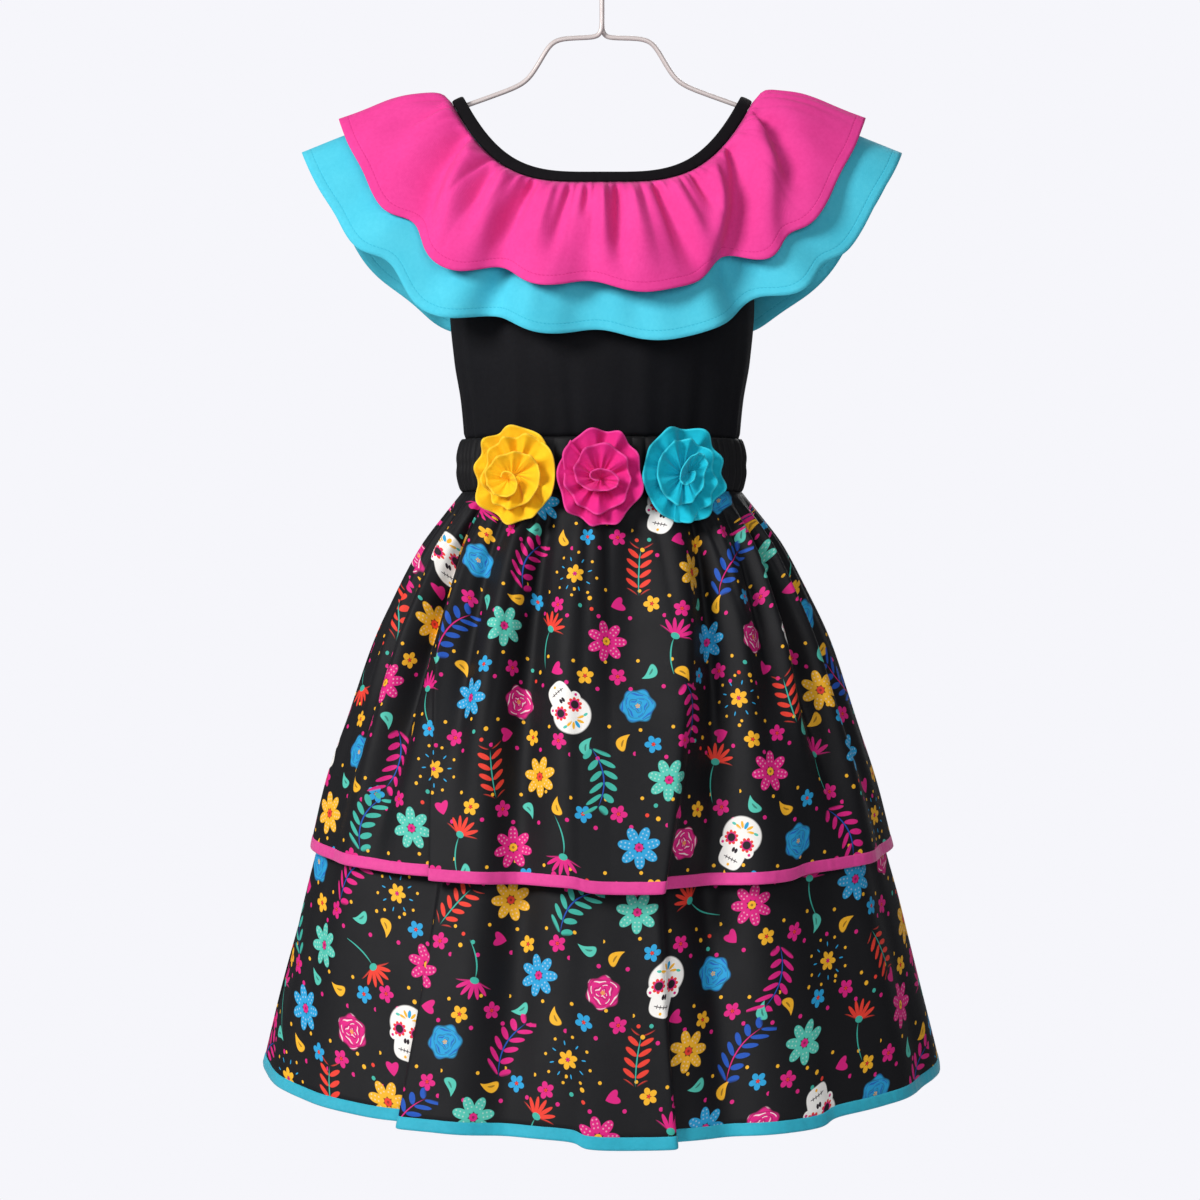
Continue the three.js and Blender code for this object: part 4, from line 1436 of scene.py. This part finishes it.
# The coiled strip, from its outer end to the bud: its sewn edge, its free edge and how it ruffles
Coil = namedtuple("Coil", "along sewn free sewn_height free_height wave")
COIL = [
    Coil(0, 0.34, 0.98, 1.4, 5.4, 1.1),
    Coil(0.30, 0.28, 1.0, 2.0, 6.4, 1.1),
    Coil(0.37, 0.1, 0.76, 2.8, 9.8, 1.0),
    Coil(0.60, 0.0, 0.68, 4.4, 11.4, 0.9),
    Coil(0.68, 0.0, 0.5, 6.0, 14.6, 0.5),
    Coil(0.84, 0.0, 0.42, 8.0, 16.4, 0.3),
    Coil(0.91, 0.0, 0.28, 10.0, 16.8, 0.15),
    Coil(1, 0.0, 0.06, 12.0, 16.4, 0.05),
]
coil_sewn = through(COIL, "along", "sewn")
coil_free = through(COIL, "along", "free")
coil_sewn_height = through(COIL, "along", "sewn_height")
coil_free_height = through(COIL, "along", "free_height")
coil_wave = through(COIL, "along", "wave")


def rosette_place(rosette):
    facing = math.radians(rosette.turn)
    tilt = math.radians(rosette.bud.tilt)
    stand = ROSETTE_STAND * math.cos(math.asin(rosette.x / ROSETTE_HALF_WAIST))

    def place(along, outward):
        turn = ROSETTE_TURNS * TURN * along + rosette.spin
        wave = coil_wave(along)
        drift = 0.8 * math.sin(2.3 * turn + rosette.spin)
        ruffle = math.sin(8.7 * turn + drift) + 0.45 * math.sin(5.3 * turn + 3 * rosette.spin)
        pleat = math.sin(19 * turn + 2 * drift)
        reach = mix(coil_sewn(along), coil_free(along), outward)
        reach *= 1 + 0.035 * wave * ruffle * outward**1.5
        height = mix(coil_sewn_height(along), coil_free_height(along), outward**1.2)
        height += wave * (2.4 * ruffle * outward**0.7 + 1.3 * pleat * (1 - outward) * outward**0.4)
        height += 0.45 * smooth(0.9, 0.94, outward)
        bud = smooth(0.56, 0.74, along)
        x = ROSETTE_SIZE * reach * math.cos(turn - tilt)
        z = ROSETTE_SIZE * reach * math.sin(turn - tilt) * mix(1, rosette.bud.oval, bud)
        level = x * math.cos(tilt) - z * math.sin(tilt) + rosette.bud.x * bud
        upright = x * math.sin(tilt) + z * math.cos(tilt) + rosette.bud.z * bud
        height += ROSETTE_LEAN * max(0, -upright)
        return Vector(
            (
                rosette.x + level * math.cos(facing) + height * math.sin(facing),
                -stand + level * math.sin(facing) - height * math.cos(facing),
                rosette.z + upright * ROSETTE_TALL,
            )
        )

    return place


for rosette in ROSETTES:
    # the third colour of each set is the painted highlight along the rosette's rolled rim
    colour, shade, rim_highlight = rosette.colours
    cloth = plain_cloth(rosette.slot, colour, shade, thread=0.38, sheen=0.08, gloss=0.22, rim_highlight=rim_highlight)
    dress_sheet(
        woven(rosette.name + "_strip", 1000, 16, rosette_place(rosette), ROSETTE_CLOTH),
        cloth,
        rosette.slot,
        rosette.name,
    )


# Floor, light and camera

CAMERA_AWAY = 2.4
CAMERA_PLACE = (-0.0013, -CAMERA_AWAY, -0.4533)  # level with the middle of the picture
FRAME_WIDTH = 0.78  # what the picture shows across, at the dress's middle


def soft_light(name, place, aim, size, power, colour):
    lamp = bpy.data.lights.new(name, "AREA")
    lamp.energy = power
    lamp.size = size
    lamp.color = colour
    light = bpy.data.objects.new(name, lamp)
    light.location = place
    light.rotation_euler = (Vector(aim) - Vector(place)).to_track_quat("-Z", "Y").to_euler()
    bpy.context.collection.objects.link(light)


FLOOR_Z = -1.25
FLOOR_RADIUS = 2.0
FLOOR_FADE_START = 0.5
FLOOR_FADE_END = 1.9

ground = bmesh.new()
bmesh.ops.create_circle(ground, cap_ends=True, segments=64, radius=FLOOR_RADIUS)
floor_mesh = bpy.data.meshes.new("floor")
for vert in ground.verts:
    vert.co.z = FLOOR_Z
ground.to_mesh(floor_mesh)
ground.free()
floor = bpy.data.objects.new("floor", floor_mesh)
bpy.context.collection.objects.link(floor)
floor_nodes = Nodes("pale_floor")
floor_place = floor_nodes.node("ShaderNodeTexCoord").outputs["Object"]
floor_split = floor_nodes.node("ShaderNodeSeparateXYZ", None, {0: floor_place})
floor_x = Field(floor_nodes, floor_split.outputs[0])
floor_y = Field(floor_nodes, floor_split.outputs[1])
away = floor_nodes.number("SQRT", floor_x * floor_x + floor_y * floor_y)
fade = floor_nodes.number(
    "MULTIPLY_ADD",
    away,
    -1 / (FLOOR_FADE_END - FLOOR_FADE_START),
    FLOOR_FADE_END / (FLOOR_FADE_END - FLOOR_FADE_START),
    clamped=True,
)
pale = paint(236, 236, 240)
floor_mesh.materials.append(floor_nodes.finish(Base_Color=pale, Roughness=0.9, Alpha=fade))

soft_light("key_light", (-1.7, -1.5, 0.65), (0, 0, -0.4), 0.8, 60, (1, 0.99, 0.98))
soft_light("fill_light", (0.45, -2.5, 0.1), (0, 0, -0.45), 1.1, 19, (0.97, 0.985, 1))
soft_light("back_light", (0.6, 1.9, 0.9), (0, 0, -0.4), 1.4, 22, (1, 1, 1))

ROOM_LIGHT = 0.2  # of what the camera sees of the room
world = bpy.data.worlds.new("pale_room")
world.use_nodes = True
backdrop = world.node_tree.nodes["Background"]
backdrop.inputs["Color"].default_value = paint(246, 246, 251)
rays = world.node_tree.nodes.new("ShaderNodeLightPath")
seen = world.node_tree.nodes.new("ShaderNodeMapRange")
seen.inputs["To Min"].default_value = ROOM_LIGHT
world.node_tree.links.new(rays.outputs["Is Camera Ray"], seen.inputs["Value"])
world.node_tree.links.new(seen.outputs["Result"], backdrop.inputs["Strength"])
bpy.context.scene.world = world
bpy.context.scene.view_settings.view_transform = "Standard"

lens = bpy.data.cameras.new("camera")
lens.sensor_width = 36
lens.lens = lens.sensor_width * CAMERA_AWAY / FRAME_WIDTH
lens.clip_start = 0.05
lens.clip_end = 50
camera = bpy.data.objects.new("camera", lens)
camera.location = CAMERA_PLACE
camera.rotation_euler = (math.radians(90), 0, 0)
bpy.context.collection.objects.link(camera)
bpy.context.scene.camera = camera

bpy.context.view_layer.update()
